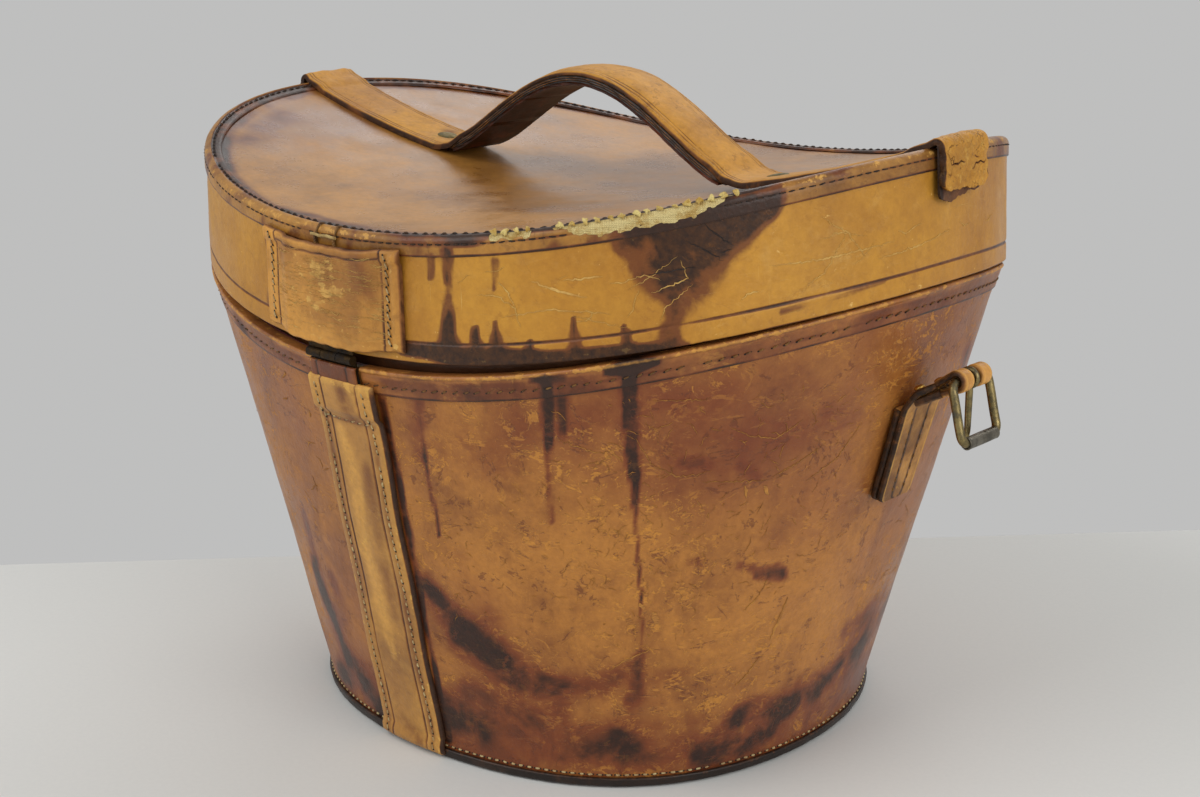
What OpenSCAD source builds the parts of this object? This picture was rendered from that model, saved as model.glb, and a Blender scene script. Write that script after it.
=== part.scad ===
// Leather hat box: an oval bucket with a saddle-shaped rim, a hinged lid, a strap with a
// raised handle over the lid, and a roller buckle on a leather tab at each end.
// Millimetres. The origin is the centre of the base. +Z is up, +X is the long axis towards
// one buckle, and -Y is the side with the seam and the hinge.

/* [Bucket] */
// Length of the base over its leather
base_length = 224; // [200:1:250]
// Width of the base over its leather
base_width = 206; // [190:1:230]
// Length of the rim over its leather
rim_length = 329; // [310:1:360]
// Width of the rim over its leather
rim_width = 264.4; // [250:0.2:290]
// Height of the rim at its two low sides
rim_dip = 160; // [140:1:190]
// How much higher the rim is at its two ends
rim_rise = 30; // [20:1:40]
// How much fuller than an ellipse the oval is
fullness = 0.02; // [0:0.005:0.03]

/* [Lid] */
// Gap between rim and lid at the low sides
gap_dip = 4.7; // [4.4:0.1:6]
// Gap between rim and lid at the ends
gap_end = 0.8; // [0.4:0.1:2]
// Height of the lid's band at the low sides
lid_height = 44; // [40:1:60]
// How much higher the band is at the ends
lid_gain = 2.6; // [0:0.1:4]
// Length of the lid's band at its lower edge
lid_length = 332; // [320:1:350]
// Length of the lid's top over its leather
lid_top_length = 327; // [310:1:350]

/* [Leather and lining] */
// Thickness of the leather of the body and the lid
cover_t = 1.8; // [1.4:0.1:2.4]
// Thickness of the board behind the leather
board_t = 2.2; // [1.6:0.1:3]
// Thickness of the lid's cloth lining
cloth_t = 1; // [0.8:0.1:1.6]
// Thickness of the leather disc of the base
base_t = 2.6; // [2:0.1:4]
// Thickness of the padded cloth in the base
base_pad_t = 3; // [2:0.5:6]
// Thickness of the collar inside the rim
collar_t = 2; // [1.6:0.1:2.6]
// How far the collar stands up above the rim
collar_up = 12; // [8:1:16]
// How far the collar reaches down below the rim
collar_down = 30; // [20:1:50]
// Room between the collar and the lid's lining at the low sides
collar_room = 3.4; // [3.2:0.1:5]
// Gap left for glue between two layers
glue = 0.15; // [0.12:0.01:0.2]

/* [Bindings and strip] */
// Thickness that a binding adds to the leather
binding_t = 1; // [0.8:0.1:1.4]
// Height of the binding on the outside of the rim
rim_binding_h = 9.5; // [9:0.5:14]
// Height of the lid's edge binding on the band
edge_binding_h = 7.2; // [6:0.1:10]
// Width of the lid's edge binding on the top
edge_binding_w = 6.5; // [5:0.1:9]
// Height of the welt round the base
welt_h = 4; // [3:0.5:5]
// Width of the strip over the seam
strip_w = 34; // [30:1:40]
// Thickness of the strip over the seam
strip_t = 2.2; // [1.6:0.1:3]
// Distance from the rim down to the top of the strip
strip_top = 6; // [5:0.5:8]
// Where the strip lies along X
strip_x = -1; // [-4:0.5:2]

/* [Hinge and patch] */
// Where the hinge and the patch lie along X
hinge_x = -4; // [-5:0.5:-2]
// Length of the hinge
hinge_w = 24; // [22:0.5:26]
// Height of the upper leaf above the pin
upper_leaf_h = 27; // [18:1:30]
// Height of the lower leaf below the pin
lower_leaf_h = 20; // [16:1:24]
// Thickness of the leaves
leaf_t = 0.8; // [0.6:0.1:1]
// Radius of the pin
pin_r = 0.8; // [0.6:0.05:0.9]
// Radius of the knuckles
knuckle_r = 1.7; // [1.5:0.05:1.8]
// Room between two knuckles
knuckle_gap = 0.3; // [0.2:0.05:0.5]
// Width of the patch on the lid
patch_w = 74; // [64:1:84]
// Thickness of the patch
patch_t = 1.8; // [1.4:0.1:2.4]
// Distance from the lid's lower edge up to the patch
patch_low = 5; // [4:0.5:7]
// Distance from the lid's top down to the patch
patch_high = 3.8; // [3:0.1:6]
// Width of each sewn hem of the patch
patch_hem = 9; // [7:0.5:12]
// Radius of the thread ties
tie_r = 0.65; // [0.5:0.05:0.7]
// Distance between the two ties
tie_pitch = 10; // [8:0.5:12]

/* [Strap and handle] */
// Distance of the strap's centre line from the middle of the lid
strap_y = 3; // [0:0.5:6]
// Width of the strap
strap_w = 28; // [22:1:34]
// Thickness of the strap
strap_t = 2.6; // [2:0.1:3.6]
// How far the torn ends hang down from the lid's top edge
stub_drop = 18; // [15:1:36]
// Where the middle of the handle lies along X
arch_x = 1.5; // [-3:0.5:3]
// Half of the handle's span from foot to foot
arch_half = 78.5; // [72:0.5:84]
// Height of the handle's underside above the lid
arch_h = 39.3; // [28:0.1:45]
// Thickness of the handle's core
core_t = 2.5; // [2:0.1:5]
// Thickness of the leather under the core
under_t = 1.2; // [0.8:0.1:2]
// Distance of each handle rivet from the handle's middle
handle_rivet_x = 88.5; // [87.5:0.5:94]
// Radius of a handle rivet's shank
handle_rivet_r = 1.6; // [1.2:0.1:2]
// Radius of a handle rivet's head
handle_rivet_head = 4.4; // [3.6:0.1:5]

/* [Tabs and buckles] */
// Height of the tab's lower end above the base
tab_low = 107; // [95:1:115]
// Height at which the tab leaves the wall
tab_root = 148; // [140:1:150]
// Height of the buckle's bar
bar_z = 158.5; // [156:0.5:161]
// Distance of the buckle's bar from the wall
bar_out = 19.4; // [17:0.1:21]
// Width of the tab on the wall
tab_w = 24; // [22:1:30]
// Thickness of one layer of the tab
tab_t = 2.4; // [2:0.1:2.6]
// Room between the tab and the wall
tab_seat = 0.3; // [0.2:0.05:0.5]
// How far the tab's lower layer ends before the wall
tab_return = 3.5; // [2:0.5:5]
// Width of the slot for the prong
slot_w = 5; // [4.4:0.1:6]
// Thickness of the buckle's wire
wire_d = 3.2; // [2.8:0.1:3.4]
// Clear width inside the buckle's frame
frame_w = 20; // [19:0.5:22]
// Distance between the bar and the roller's axis
frame_drop = 21.5; // [20:0.5:23]
// Angle by which the frame stands off from hanging straight
frame_tilt = 15; // [14:0.5:18]
// Running room of the buckle's round fits
running = 0.1; // [0.05:0.01:0.2]
// Thickness of the roller's wall
roller_t = 0.5; // [0.4:0.05:0.7]
// Thickness of the prong's wire
prong_d = 2.5; // [2:0.1:2.8]
// Length of the prong from the bar's axis
prong_len = 24.5; // [24:0.1:25]
// Radius of a tab rivet's shank
tab_rivet_r = 1.2; // [0.9:0.1:1.4]
// Distance between the two rivets of a tab
tab_rivet_pitch = 13; // [11:0.5:14]

/* [Hidden] */
$fn = 48;

// Colours
tan_leather = "#b5792f";
red_leather = "#7d4523";
dark_leather = "#35211a";
cloth = "#7a1f22";
board = "#c9b58a";
brass = "#8c7a45";
thread = "#d8c9a0";

// Angles round the oval, one facet each
facet = 3.75;
// How far a cutting shape runs past what it cuts
past = 1;
// How far the wall layers stay above the surface that the base stands on
foot = 0.4;

// Distances of the body's layers from its outer surface, inwards
board_out = cover_t + glue;
board_in = board_out + board_t;
lining_out = board_in + glue;
lid_layers = 2 * glue + cover_t + board_t + cloth_t;
collar_out = lid_layers - binding_t + collar_room;
lining_in = collar_out - glue;
collar_in = collar_out + collar_t;

// Heights of the base's layers
base_board_z = base_t + glue;
base_pad_z = base_board_z + board_t + glue;

// Half sizes of the lid's lower and upper outline
lid_a0 = lid_length / 2;
lid_b = rim_width / 2 + binding_t;
lid_a1 = lid_top_length / 2;
rim_end = rim_dip + rim_rise;
top_dip = rim_dip + gap_dip + lid_height;
top_end = rim_end + gap_end + lid_height + lid_gain;
top_rise = top_end - top_dip;

// Depths below the lid's top edge
skin = binding_t - glue;
top_cover_low = binding_t + cover_t;
top_board_high = top_cover_low + glue;
top_board_low = top_board_high + board_t;
top_cloth_high = top_board_low + glue;
top_cloth_low = top_cloth_high + cloth_t;

// Hinge
pin_y = -(lid_b + glue + leaf_t);
pin_z = rim_dip + gap_dip / 2;
middle_knuckle = hinge_w / 3;
end_knuckle = (hinge_w - middle_knuckle) / 2 - knuckle_gap;
notch_w = hinge_w + 4;
tie_past = 2;
// The angle of the hinge side, and how the patch steps over the edge binding
hinge_side = -90;
patch_ramp = 2;
patch_clear = 0.6;
tie_y = -(lid_b + binding_t + glue + tie_r);
pocket = binding_t + 2 * glue + 2 * tie_r;

// Handle: how full its arch is, where its layers end, and how its core tapers
arch_power = 1.8;
core_half = arch_half - 4;
under_half = arch_half - 8;
core_ramp = 12;
core_end_t = 0.3;
strap_land = arch_half + 5;
layer_gap = 0.1;
fold_gap = 0.3;
fold_steps = 6;
// Where the strap climbs onto the edge binding, and over what length
binding_climb = 5;
climb_length = 4;

// Tab and buckle
bar_x = half_length(bar_z) + bar_out;
root_x = half_length(tab_root) + tab_seat + tab_t;
loop_bore = wire_d / 2 + running;
loop_r = loop_bore + tab_t;
tab_angle = atan2(bar_z - tab_root, bar_x - root_x);
tab_len = norm([bar_x - root_x, bar_z - tab_root]);
loop_w = frame_w - 2;
leg_y = (frame_w + wire_d) / 2;
roller_in = wire_d / 2 + running;
roller_out = roller_in + roller_t;
rivet_back = tab_len - 6;

// The oval and its slope, for an angle round it
function oval_x(phi) = (cos(phi) - fullness * cos(3 * phi)) / (1 - fullness);
function oval_y(phi) = (sin(phi) + fullness * sin(3 * phi)) / (1 - fullness);
function slope_x(phi) = (-sin(phi) + 3 * fullness * sin(3 * phi)) / (1 - fullness);
function slope_y(phi) = (cos(phi) + 3 * fullness * cos(3 * phi)) / (1 - fullness);

// A point on an oval of half sizes a and b, moved off outwards
function oval_point(a, b, phi, off) =
    let (n = [b * slope_y(phi), -a * slope_x(phi)])
    [a * oval_x(phi), b * oval_y(phi)] + off * n / norm(n);

// Half sizes of the tapered body at a height
function half_length(z) = (base_length + (rim_length - base_length) * z / rim_end) / 2;
function half_width(z) = (base_width + (rim_width - base_width) * z / rim_dip) / 2;

// Heights of the rim, the lid's lower edge and the lid's top edge at an angle
function rim_z(phi) = rim_dip + rim_rise * pow(oval_x(phi), 2);
function lid_low_z(phi) = rim_z(phi) + gap_dip + (gap_end - gap_dip) * pow(oval_x(phi), 2);
function lid_top_z(phi) = top_z(lid_a1 * oval_x(phi));

// Height of the lid's top over its bindings, which curves along X alone
function top_z(x) = top_dip + top_rise * pow(x / lid_a1, 2);

// Points on the walls and on the lid's top
function body_point(phi, z, off) =
    let (p = oval_point(half_length(z), half_width(z), phi, off))
    [p.x, p.y, z];
function collar_point(phi, z, off) =
    let (p = body_point(phi, min(z, rim_z(phi)), off))
    [p.x, p.y, z];
function lid_point(phi, z, off) =
    let (share = (z - lid_low_z(phi)) / (lid_top_z(phi) - lid_low_z(phi)))
    let (p = oval_point(lid_a0 + (lid_a1 - lid_a0) * share, lid_b, phi, off))
    [p.x, p.y, z];
function top_point(phi, depth, off) =
    let (p = oval_point(lid_a1, lid_b, phi, off))
    [p.x, p.y, top_z(p.x) - depth];

// The angle near the hinge side at which a wall of half length a reaches x
function side_angle(x, a) = hinge_side + asin(x / a * (1 - fullness) / (1 + 3 * fullness));

// Angles from one to another, with the common grid between them
function arc_steps(low, high) =
    let (first = floor(low / facet + 0.2) + 1)
    let (last = ceil(high / facet - 0.2) - 1)
    concat([low], [for (i = [first:last]) i * facet], [high]);
function full_turn() = [for (i = [0:360 / facet - 1]) i * facet];

// Goes smoothly from 0 at 0 to 1 at 1
function ease(t) = let (u = max(0, min(1, t))) u * u * (3 - 2 * u);

// Evenly spread values from low to high
function spread(low, high, count) = [for (i = [0:count]) low + (high - low) * i / count];

// A sheet bent round the oval: each angle gives a chain of points on its outer face, from
// low to high, and as many on its inner face. Both faces are split along the same diagonals.
module bent_sheet(angles, outer, inner, closed = true) {
    chain = len(outer(angles[0]));
    ring = 2 * chain;
    count = len(angles);
    points = [for (phi = angles)
        each concat(outer(phi), [for (j = [chain - 1:-1:0]) inner(phi)[j]])];
    spans = closed ? count : count - 1;
    sides = [for (i = [0:spans - 1]) for (j = [0:ring - 1])
        let (a = i * ring, b = (i + 1) % count * ring, k = (j + 1) % ring)
        each j < chain ? [[a + j, a + k, b + k], [a + j, b + k, b + j]]
            : [[a + j, a + k, b + j], [a + k, b + k, b + j]]];
    end = (count - 1) * ring;
    caps = closed ? [] : [for (j = [0:chain - 2])
        let (o = j, p = j + 1, q = ring - 1 - j, r = ring - 2 - j)
        each [[o, q, r], [o, r, p], [end + o, end + r, end + q], [end + o, end + p, end + r]]];
    polyhedron(points = points, faces = concat(sides, caps));
}

// A plain ring of wall between two offsets and two height functions
module wall_ring(place, low, high, outside, inside) {
    bent_sheet(full_turn(),
        function (phi) [for (z = [low(phi), high(phi, outside)]) place(phi, z, outside)],
        function (phi) [for (z = [low(phi), high(phi, inside)]) place(phi, z, inside)]);
}

body_place = function (phi, z, off) body_point(phi, z, off);
collar_place = function (phi, z, off) collar_point(phi, z, off);
lid_place = function (phi, z, off) lid_point(phi, z, off);
wall_top = function (phi, off) rim_z(phi) - binding_t;

// Height at a depth below the lid's top edge, right above a point of the band
function band_top(phi, off, depth) = top_z(oval_point(lid_a1, lid_b, phi, off).x) - depth;

// An oval disc of the base
module base_disc(z, inset, thickness) {
    translate([0, 0, z])
        linear_extrude(thickness)
            polygon([for (phi = full_turn())
                oval_point(half_length(z), half_width(z), phi, -inset)]);
}

// A layer of the lid's top between two depths, with its outline inset from the edge
module top_layer(inset, high, low) {
    xs = [for (i = [0:180 / facet]) -lid_a1 * oval_x(i * facet)];
    intersection() {
        rotate([90, 0, 0])
            linear_extrude(2 * lid_b, center = true)
                polygon(concat([for (x = xs) [x, top_z(x) - high]],
                    [for (i = [len(xs) - 1:-1:0]) [xs[i], top_z(xs[i]) - low]]));
        linear_extrude(top_end)
            polygon([for (phi = full_turn()) oval_point(lid_a1, lid_b, phi, -inset)]);
    }
}

// Stands children on the lid's top leather at a handle rivet, square to the surface
module at_handle_rivet(side) {
    x = arch_x + side * handle_rivet_x;
    slope = 2 * top_rise * x / pow(lid_a1, 2);
    translate([x, strap_y, top_z(x) - binding_t])
        rotate([0, -atan(slope), 0])
            children();
}

// Extrudes an outline in X and Z to a width, with its middle at a distance along Y
module across(width, y) {
    translate([0, y, 0])
        rotate([90, 0, 0])
            linear_extrude(width, center = true)
                children();
}

// Body

module body_cover() {
    color(tan_leather)
        wall_ring(body_place, function (phi) foot, wall_top, 0, -cover_t);
}

module body_board() {
    color(board)
        wall_ring(body_place, function (phi) foot, wall_top, -board_out, -board_in);
}

module body_lining() {
    color(cloth)
        wall_ring(body_place, function (phi) base_pad_z, wall_top, -lining_out, -lining_in);
}

module collar() {
    color(dark_leather)
        bent_sheet(full_turn(),
            function (phi) [for (z = [rim_z(phi) - collar_down, rim_z(phi), rim_z(phi) + collar_up])
                collar_point(phi, z, -collar_out)],
            function (phi) [for (z = [rim_z(phi) - collar_down, rim_z(phi), rim_z(phi) + collar_up])
                collar_point(phi, z, -collar_in)]);
}

module rim_binding() {
    start = side_angle(hinge_x + notch_w / 2, rim_length / 2);
    end = 360 + side_angle(hinge_x - notch_w / 2, rim_length / 2);
    color(red_leather)
        bent_sheet(arc_steps(start, end),
            function (phi) [body_point(phi, rim_z(phi) - rim_binding_h, binding_t),
                body_point(phi, rim_z(phi), binding_t),
                body_point(phi, rim_z(phi), -board_in)],
            function (phi) [body_point(phi, rim_z(phi) - rim_binding_h, glue),
                body_point(phi, rim_z(phi) - skin, glue),
                body_point(phi, rim_z(phi) - skin, -board_in)],
            closed = false);
}

module base_cover() {
    color(dark_leather)
        base_disc(0, lining_out, base_t);
}

module base_board() {
    color(board)
        base_disc(base_board_z, lining_out, board_t);
}

module base_lining() {
    color(cloth)
        base_disc(base_pad_z, collar_out, base_pad_t);
}

module base_welt() {
    color(dark_leather)
        wall_ring(body_place, function (phi) foot, function (phi, off) foot + welt_h,
            glue + binding_t, glue);
}

// The strip stands off over the welt and over the lower hinge leaf
module seam_strip() {
    over_welt = 2 * glue + binding_t;
    over_leaf = 3 * glue + leaf_t + leaf_bow();
    welt_top = foot + welt_h;
    lift_z = pin_z - lower_leaf_h - 1;
    middle = (welt_top + lift_z) / 2;
    heights = [foot + 0.6, welt_top + 0.6, welt_top + 2, middle, lift_z - 2, lift_z,
        rim_dip - strip_top];
    stand = [over_welt, over_welt, glue, glue, glue, over_leaf, over_leaf];
    color(tan_leather)
        bent_sheet(spread(strip_x - strip_w / 2, strip_x + strip_w / 2, 6),
            function (x) [for (k = [0:len(heights) - 1])
                body_point(side_angle(x, half_length(heights[k])), heights[k], stand[k] + strip_t)],
            function (x) [for (k = [0:len(heights) - 1])
                body_point(side_angle(x, half_length(heights[k])), heights[k], stand[k])],
            closed = false);
}

// Hinge

// How far the curved wall falls away from a flat leaf at the leaf's farther end
function leaf_bow() = pow(abs(hinge_x) + hinge_w / 2, 2) * rim_width / pow(rim_length, 2);

// A leaf's outline in Y and Z, extruded along X
module leaf_plate(x0, x1, outline) {
    translate([hinge_x + x0, 0, 0])
        rotate([90, 0, 90])
            linear_extrude(x1 - x0)
                polygon(outline);
}

module pin_hole(r) {
    translate([hinge_x - hinge_w, pin_y, pin_z])
        rotate([0, 90, 0])
            cylinder(r = r, h = 2 * hinge_w);
}

module hinge_body_leaf() {
    bore = pin_r + 0.01;
    low_z = pin_z - lower_leaf_h;
    neck_z = pin_z - knuckle_r - knuckle_gap;
    inner_low = -(half_width(low_z) + glue);
    inner_neck = -(half_width(neck_z) + glue);
    inner_top = -(half_width(pin_z) + glue);
    color(brass)
        difference() {
            union() {
                leaf_plate(-hinge_w / 2, hinge_w / 2, [[inner_low, low_z], [inner_neck, neck_z],
                    [inner_neck - leaf_t, neck_z], [inner_low - leaf_t, low_z]]);
                for (x = [-hinge_w / 2, hinge_w / 2 - end_knuckle]) {
                    leaf_plate(x, x + end_knuckle, [[inner_neck, neck_z], [inner_top, pin_z],
                        [inner_top - leaf_t, pin_z], [inner_neck - leaf_t, neck_z]]);
                    translate([hinge_x + x, pin_y, pin_z])
                        rotate([0, 90, 0])
                            cylinder(r = knuckle_r, h = end_knuckle);
                }
            }
            pin_hole(bore);
        }
}

module hinge_pin() {
    color(brass)
        translate([hinge_x - hinge_w / 2, pin_y, pin_z])
            rotate([0, 90, 0])
                cylinder(r = pin_r, h = hinge_w);
}

module hinge_lid_leaf() {
    bore = pin_r + 0.06;
    half_knuckle = middle_knuckle / 2;
    face = pin_y + leaf_t;
    neck_z = pin_z + knuckle_r + knuckle_gap;
    color(brass)
        difference() {
            union() {
                leaf_plate(-hinge_w / 2, hinge_w / 2, [[pin_y, neck_z], [face, neck_z],
                    [face, pin_z + upper_leaf_h], [pin_y, pin_z + upper_leaf_h]]);
                leaf_plate(-half_knuckle, half_knuckle,
                    [[pin_y, pin_z], [face, pin_z], [face, neck_z], [pin_y, neck_z]]);
                translate([hinge_x - half_knuckle, pin_y, pin_z])
                    rotate([0, 90, 0])
                        cylinder(r = knuckle_r, h = middle_knuckle);
            }
            pin_hole(bore);
        }
}

// Lid

module lid_band() {
    color(tan_leather)
        wall_ring(lid_place, function (phi) lid_low_z(phi),
            function (phi, off) band_top(phi, off, top_board_high), 0, -cover_t);
}

module lid_band_board() {
    color(board)
        wall_ring(lid_place, function (phi) lid_low_z(phi),
            function (phi, off) band_top(phi, off, top_board_high), -board_out, -board_in);
}

module lid_band_lining() {
    color(cloth)
        wall_ring(lid_place, function (phi) lid_low_z(phi),
            function (phi, off) band_top(phi, off, top_cloth_low + glue + cloth_t),
            -lining_out, -lining_out - cloth_t);
}

module lid_top_cover() {
    color(red_leather)
        difference() {
            top_layer(0, binding_t, top_cover_low);
            for (side = [-1, 1])
                at_handle_rivet(side)
                    translate([0, 0, -cover_t - past])
                        cylinder(r = handle_rivet_r + glue, h = cover_t + 2 * past);
        }
}

module lid_top_board() {
    burr_seat = handle_rivet_head + 2 * glue;
    color(board)
        difference() {
            top_layer(lining_out, top_board_high, top_board_low);
            for (side = [-1, 1])
                at_handle_rivet(side) {
                    translate([0, 0, -cover_t - board_t - past])
                        cylinder(r = handle_rivet_r + glue, h = board_t + 2 * past);
                    translate([0, 0, -cover_t - glue - board_t - past])
                        cylinder(r = burr_seat, h = past + 1.1);
                }
        }
}

module lid_top_lining() {
    color(cloth)
        top_layer(lining_out, top_cloth_high, top_cloth_low);
}

module lid_edge_binding() {
    color(red_leather)
        bent_sheet(full_turn(),
            function (phi) [lid_point(phi, lid_top_z(phi) - edge_binding_h, binding_t),
                lid_point(phi, lid_top_z(phi), binding_t),
                top_point(phi, 0, -edge_binding_w)],
            function (phi) [lid_point(phi, lid_top_z(phi) - edge_binding_h, glue),
                lid_point(phi, lid_top_z(phi) - skin, glue),
                top_point(phi, skin, -edge_binding_w)]);
}

// The patch lies on the band at its two hems and bows out over the hinge leaf and the ties
module lid_patch() {
    a = lid_a0;
    x_low = hinge_x - patch_w / 2;
    x_high = hinge_x + patch_w / 2;
    binding_z = top_dip - edge_binding_h;
    heights = [lid_low_z(hinge_side) + patch_low, binding_z - patch_ramp,
        binding_z - patch_clear, top_dip - patch_high];
    over_binding = 2 * glue + binding_t;
    inner = function (phi) let (x = a * oval_x(phi) - hinge_x)
        glue + pocket * ease((patch_w / 2 - patch_hem - abs(x)) / patch_hem);
    stand = function (phi, k) k < 2 ? inner(phi) : max(inner(phi), over_binding);
    color(tan_leather)
        bent_sheet(arc_steps(side_angle(x_low, a), side_angle(x_high, a)),
            function (phi) [for (k = [0:3])
                lid_point(phi, heights[k], patch_t + stand(phi, k))],
            function (phi) [for (k = [0:3]) lid_point(phi, heights[k], stand(phi, k))],
            closed = false);
}

module patch_ties() {
    low_z = lid_low_z(hinge_side) + patch_low - tie_past;
    high_z = top_dip - patch_high + tie_past;
    color(thread)
        union() {
            for (side = [-1, 1])
                translate([hinge_x + side * tie_pitch / 2, tie_y, low_z])
                    cylinder(r = tie_r, h = high_z - low_z, $fn = 24);
            translate([hinge_x - tie_pitch, tie_y, high_z - 2 * tie_r])
                rotate([0, 90, 0])
                    cylinder(r = tie_r, h = 2 * tie_pitch, $fn = 24);
        }
}

// Strap and handle

// Height of the handle's arch above the lid
function arch(x) =
    let (t = min(1, abs(x - arch_x) / arch_half))
    arch_h * pow(1 - t * t, arch_power);

// Height of the lowest leather of the strap: on the top leather, and over the binding at the ends
function rest_z(x) =
    top_z(x) - skin + arch(x)
    + binding_t * ease((abs(x) - lid_a1 + edge_binding_w + binding_climb) / climb_length);

// Thickness of the core, which tapers to its ends
function core_at(x) =
    core_end_t + (core_t - core_end_t) * ease((core_half - abs(x - arch_x)) / core_ramp);

// Height of the strap's underside above the lowest leather
function strap_lift(x) =
    let (out = abs(x - arch_x))
    out < core_half ? under_t + 2 * layer_gap + core_at(x)
    : (under_t + 2 * layer_gap + core_end_t) * ease((strap_land - out) / (strap_land - core_half));

// A point off the lowest leather's curve, square to it
function off_rest(x, off) =
    let (d = 0.01)
    let (slope = (rest_z(x + d) - rest_z(x - d)) / (2 * d))
    [x, rest_z(x)] + off * [-slope, 1] / norm([slope, 1]);

// The torn end folded over the lid's +X edge, from the top down, for one face of the strap
function fold(off) =
    let (corner = [lid_a1 + binding_t, top_end])
    let (lean = atan((lid_a0 - lid_a1) / (lid_height + lid_gain)))
    let (steep = atan(2 * top_rise / lid_a1))
    let (r = fold_gap + off)
    concat([for (t = spread(90 + steep, -lean, fold_steps)) corner + r * [cos(t), sin(t)]],
        [corner + r * [cos(lean), -sin(lean)] + stub_drop * [tan(lean), -1]]);

// One face of the strap from its -X end to its +X end
function strap_face(off) =
    let (end = fold(off), last = lid_a1 - 2)
    concat([for (i = [len(end) - 1:-1:0]) [-end[i].x, end[i].y]],
        [for (x = spread(-last, last, 160)) off_rest(x, strap_lift(x) + off)], end);

module strap() {
    upper = strap_face(strap_t);
    color(tan_leather)
        difference() {
            across(strap_w, strap_y)
                polygon(concat(strap_face(0), [for (i = [len(upper) - 1:-1:0]) upper[i]]));
            for (side = [-1, 1])
                at_handle_rivet(side)
                    translate([0, 0, -past])
                        cylinder(r = handle_rivet_r + glue, h = strap_t + 3 * past);
        }
}

// A layer of the handle between two heights above its lowest leather
module handle_layer(half, low, high) {
    xs = spread(arch_x - half, arch_x + half, 60);
    across(strap_w - 1, strap_y)
        polygon(concat([for (x = xs) off_rest(x, low(x))],
            [for (i = [len(xs) - 1:-1:0]) off_rest(xs[i], high(xs[i]))]));
}

module handle_core() {
    color(dark_leather)
        handle_layer(core_half, function (x) under_t + layer_gap,
            function (x) under_t + layer_gap + core_at(x));
}

module handle_lining() {
    color(red_leather)
        handle_layer(under_half, function (x) 0, function (x) under_t);
}

module handle_rivets() {
    seat = glue + strap_t + layer_gap;
    burr_t = 0.8;
    burr_z = -(cover_t + glue + board_t) + 0.2;
    color(brass)
        for (side = [-1, 1])
            at_handle_rivet(side)
                union() {
                    translate([0, 0, burr_z])
                        cylinder(r = handle_rivet_r, h = seat - burr_z);
                    translate([0, 0, seat])
                        cylinder(r1 = handle_rivet_head, r2 = handle_rivet_head - 1, h = 1);
                    translate([0, 0, burr_z])
                        cylinder(r = handle_rivet_head, h = burr_t);
                }
}

// Tabs and buckles

// Places children at the bar, with X along the tab away from the wall
module at_tab() {
    translate([bar_x, 0, bar_z])
        rotate([0, -tab_angle, 0])
            children();
}

module round_bar(r, width) {
    rotate([90, 0, 0])
        cylinder(r = r, h = width, center = true);
}

module chape() {
    lift = tab_seat + 2 * tab_t;
    plan = [[0, -tab_w / 2], [root_x + tab_t, -tab_w / 2], [bar_x - loop_r - 4, -loop_w / 2],
        [bar_x + loop_r + past, -loop_w / 2], [bar_x + loop_r + past, loop_w / 2],
        [bar_x - loop_r - 4, loop_w / 2], [root_x + tab_t, tab_w / 2], [0, tab_w / 2]];
    difference() {
        intersection() {
            union() {
                across(tab_w, 0)
                    polygon([[half_length(tab_low) + tab_seat, tab_low],
                        [half_length(tab_low) + lift, tab_low],
                        [half_length(tab_root) + lift, tab_root],
                        [half_length(tab_root + tab_t) + tab_seat, tab_root + tab_t]]);
                at_tab()
                    translate([-tab_len, -tab_w / 2, 0])
                        cube([tab_len, tab_w, tab_t]);
                at_tab()
                    translate([tab_return - tab_len, -tab_w / 2, -tab_t])
                        cube([tab_len - tab_return, tab_w, tab_t + layer_gap]);
                at_tab()
                    round_bar(loop_r, tab_w);
            }
            linear_extrude(rim_end)
                polygon(plan);
        }
        at_tab()
            round_bar(loop_bore, tab_w + 2 * past);
        at_tab()
            translate([-loop_r - 4, -slot_w / 2, -loop_r - past])
                cube([2 * loop_r + 4 + past, slot_w, 2 * loop_r + 2 * past]);
        for (side = [-1, 1])
            at_tab()
                translate([-rivet_back, side * tab_rivet_pitch / 2, -2 * tab_t])
                    cylinder(r = tab_rivet_r + glue, h = 4 * tab_t);
    }
}

module chape_rivets() {
    head_r = tab_rivet_r + 0.9;
    for (side = [-1, 1])
        at_tab()
            translate([-rivet_back, side * tab_rivet_pitch / 2, 0])
                union() {
                    translate([0, 0, -tab_t - glue])
                        cylinder(r = tab_rivet_r, h = 2 * (tab_t + glue));
                    translate([0, 0, tab_t + glue])
                        cylinder(r1 = head_r, r2 = head_r - 0.7, h = 1.4);
                    translate([0, 0, -tab_t - glue - 0.7])
                        cylinder(r = head_r, h = 0.7);
                }
}

// Places children at the bar with -Z along the hanging frame
module at_bar(tilt) {
    translate([bar_x, 0, bar_z])
        rotate([0, -tilt, 0])
            children();
}

module buckle_frame() {
    r = wire_d / 2;
    at_bar(frame_tilt)
        union() {
            for (z = [0, -frame_drop])
                translate([0, 0, z])
                    round_bar(r, 2 * leg_y);
            for (side = [-1, 1])
                translate([0, side * leg_y, -frame_drop]) {
                    cylinder(r = r, h = frame_drop);
                    sphere(r = r);
                    translate([0, 0, frame_drop])
                        sphere(r = r);
                }
        }
}

module buckle_roller() {
    at_bar(frame_tilt)
        translate([0, 0, -frame_drop])
            difference() {
                round_bar(roller_out, frame_w - 1);
                round_bar(roller_in, frame_w + past);
            }
}

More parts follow.
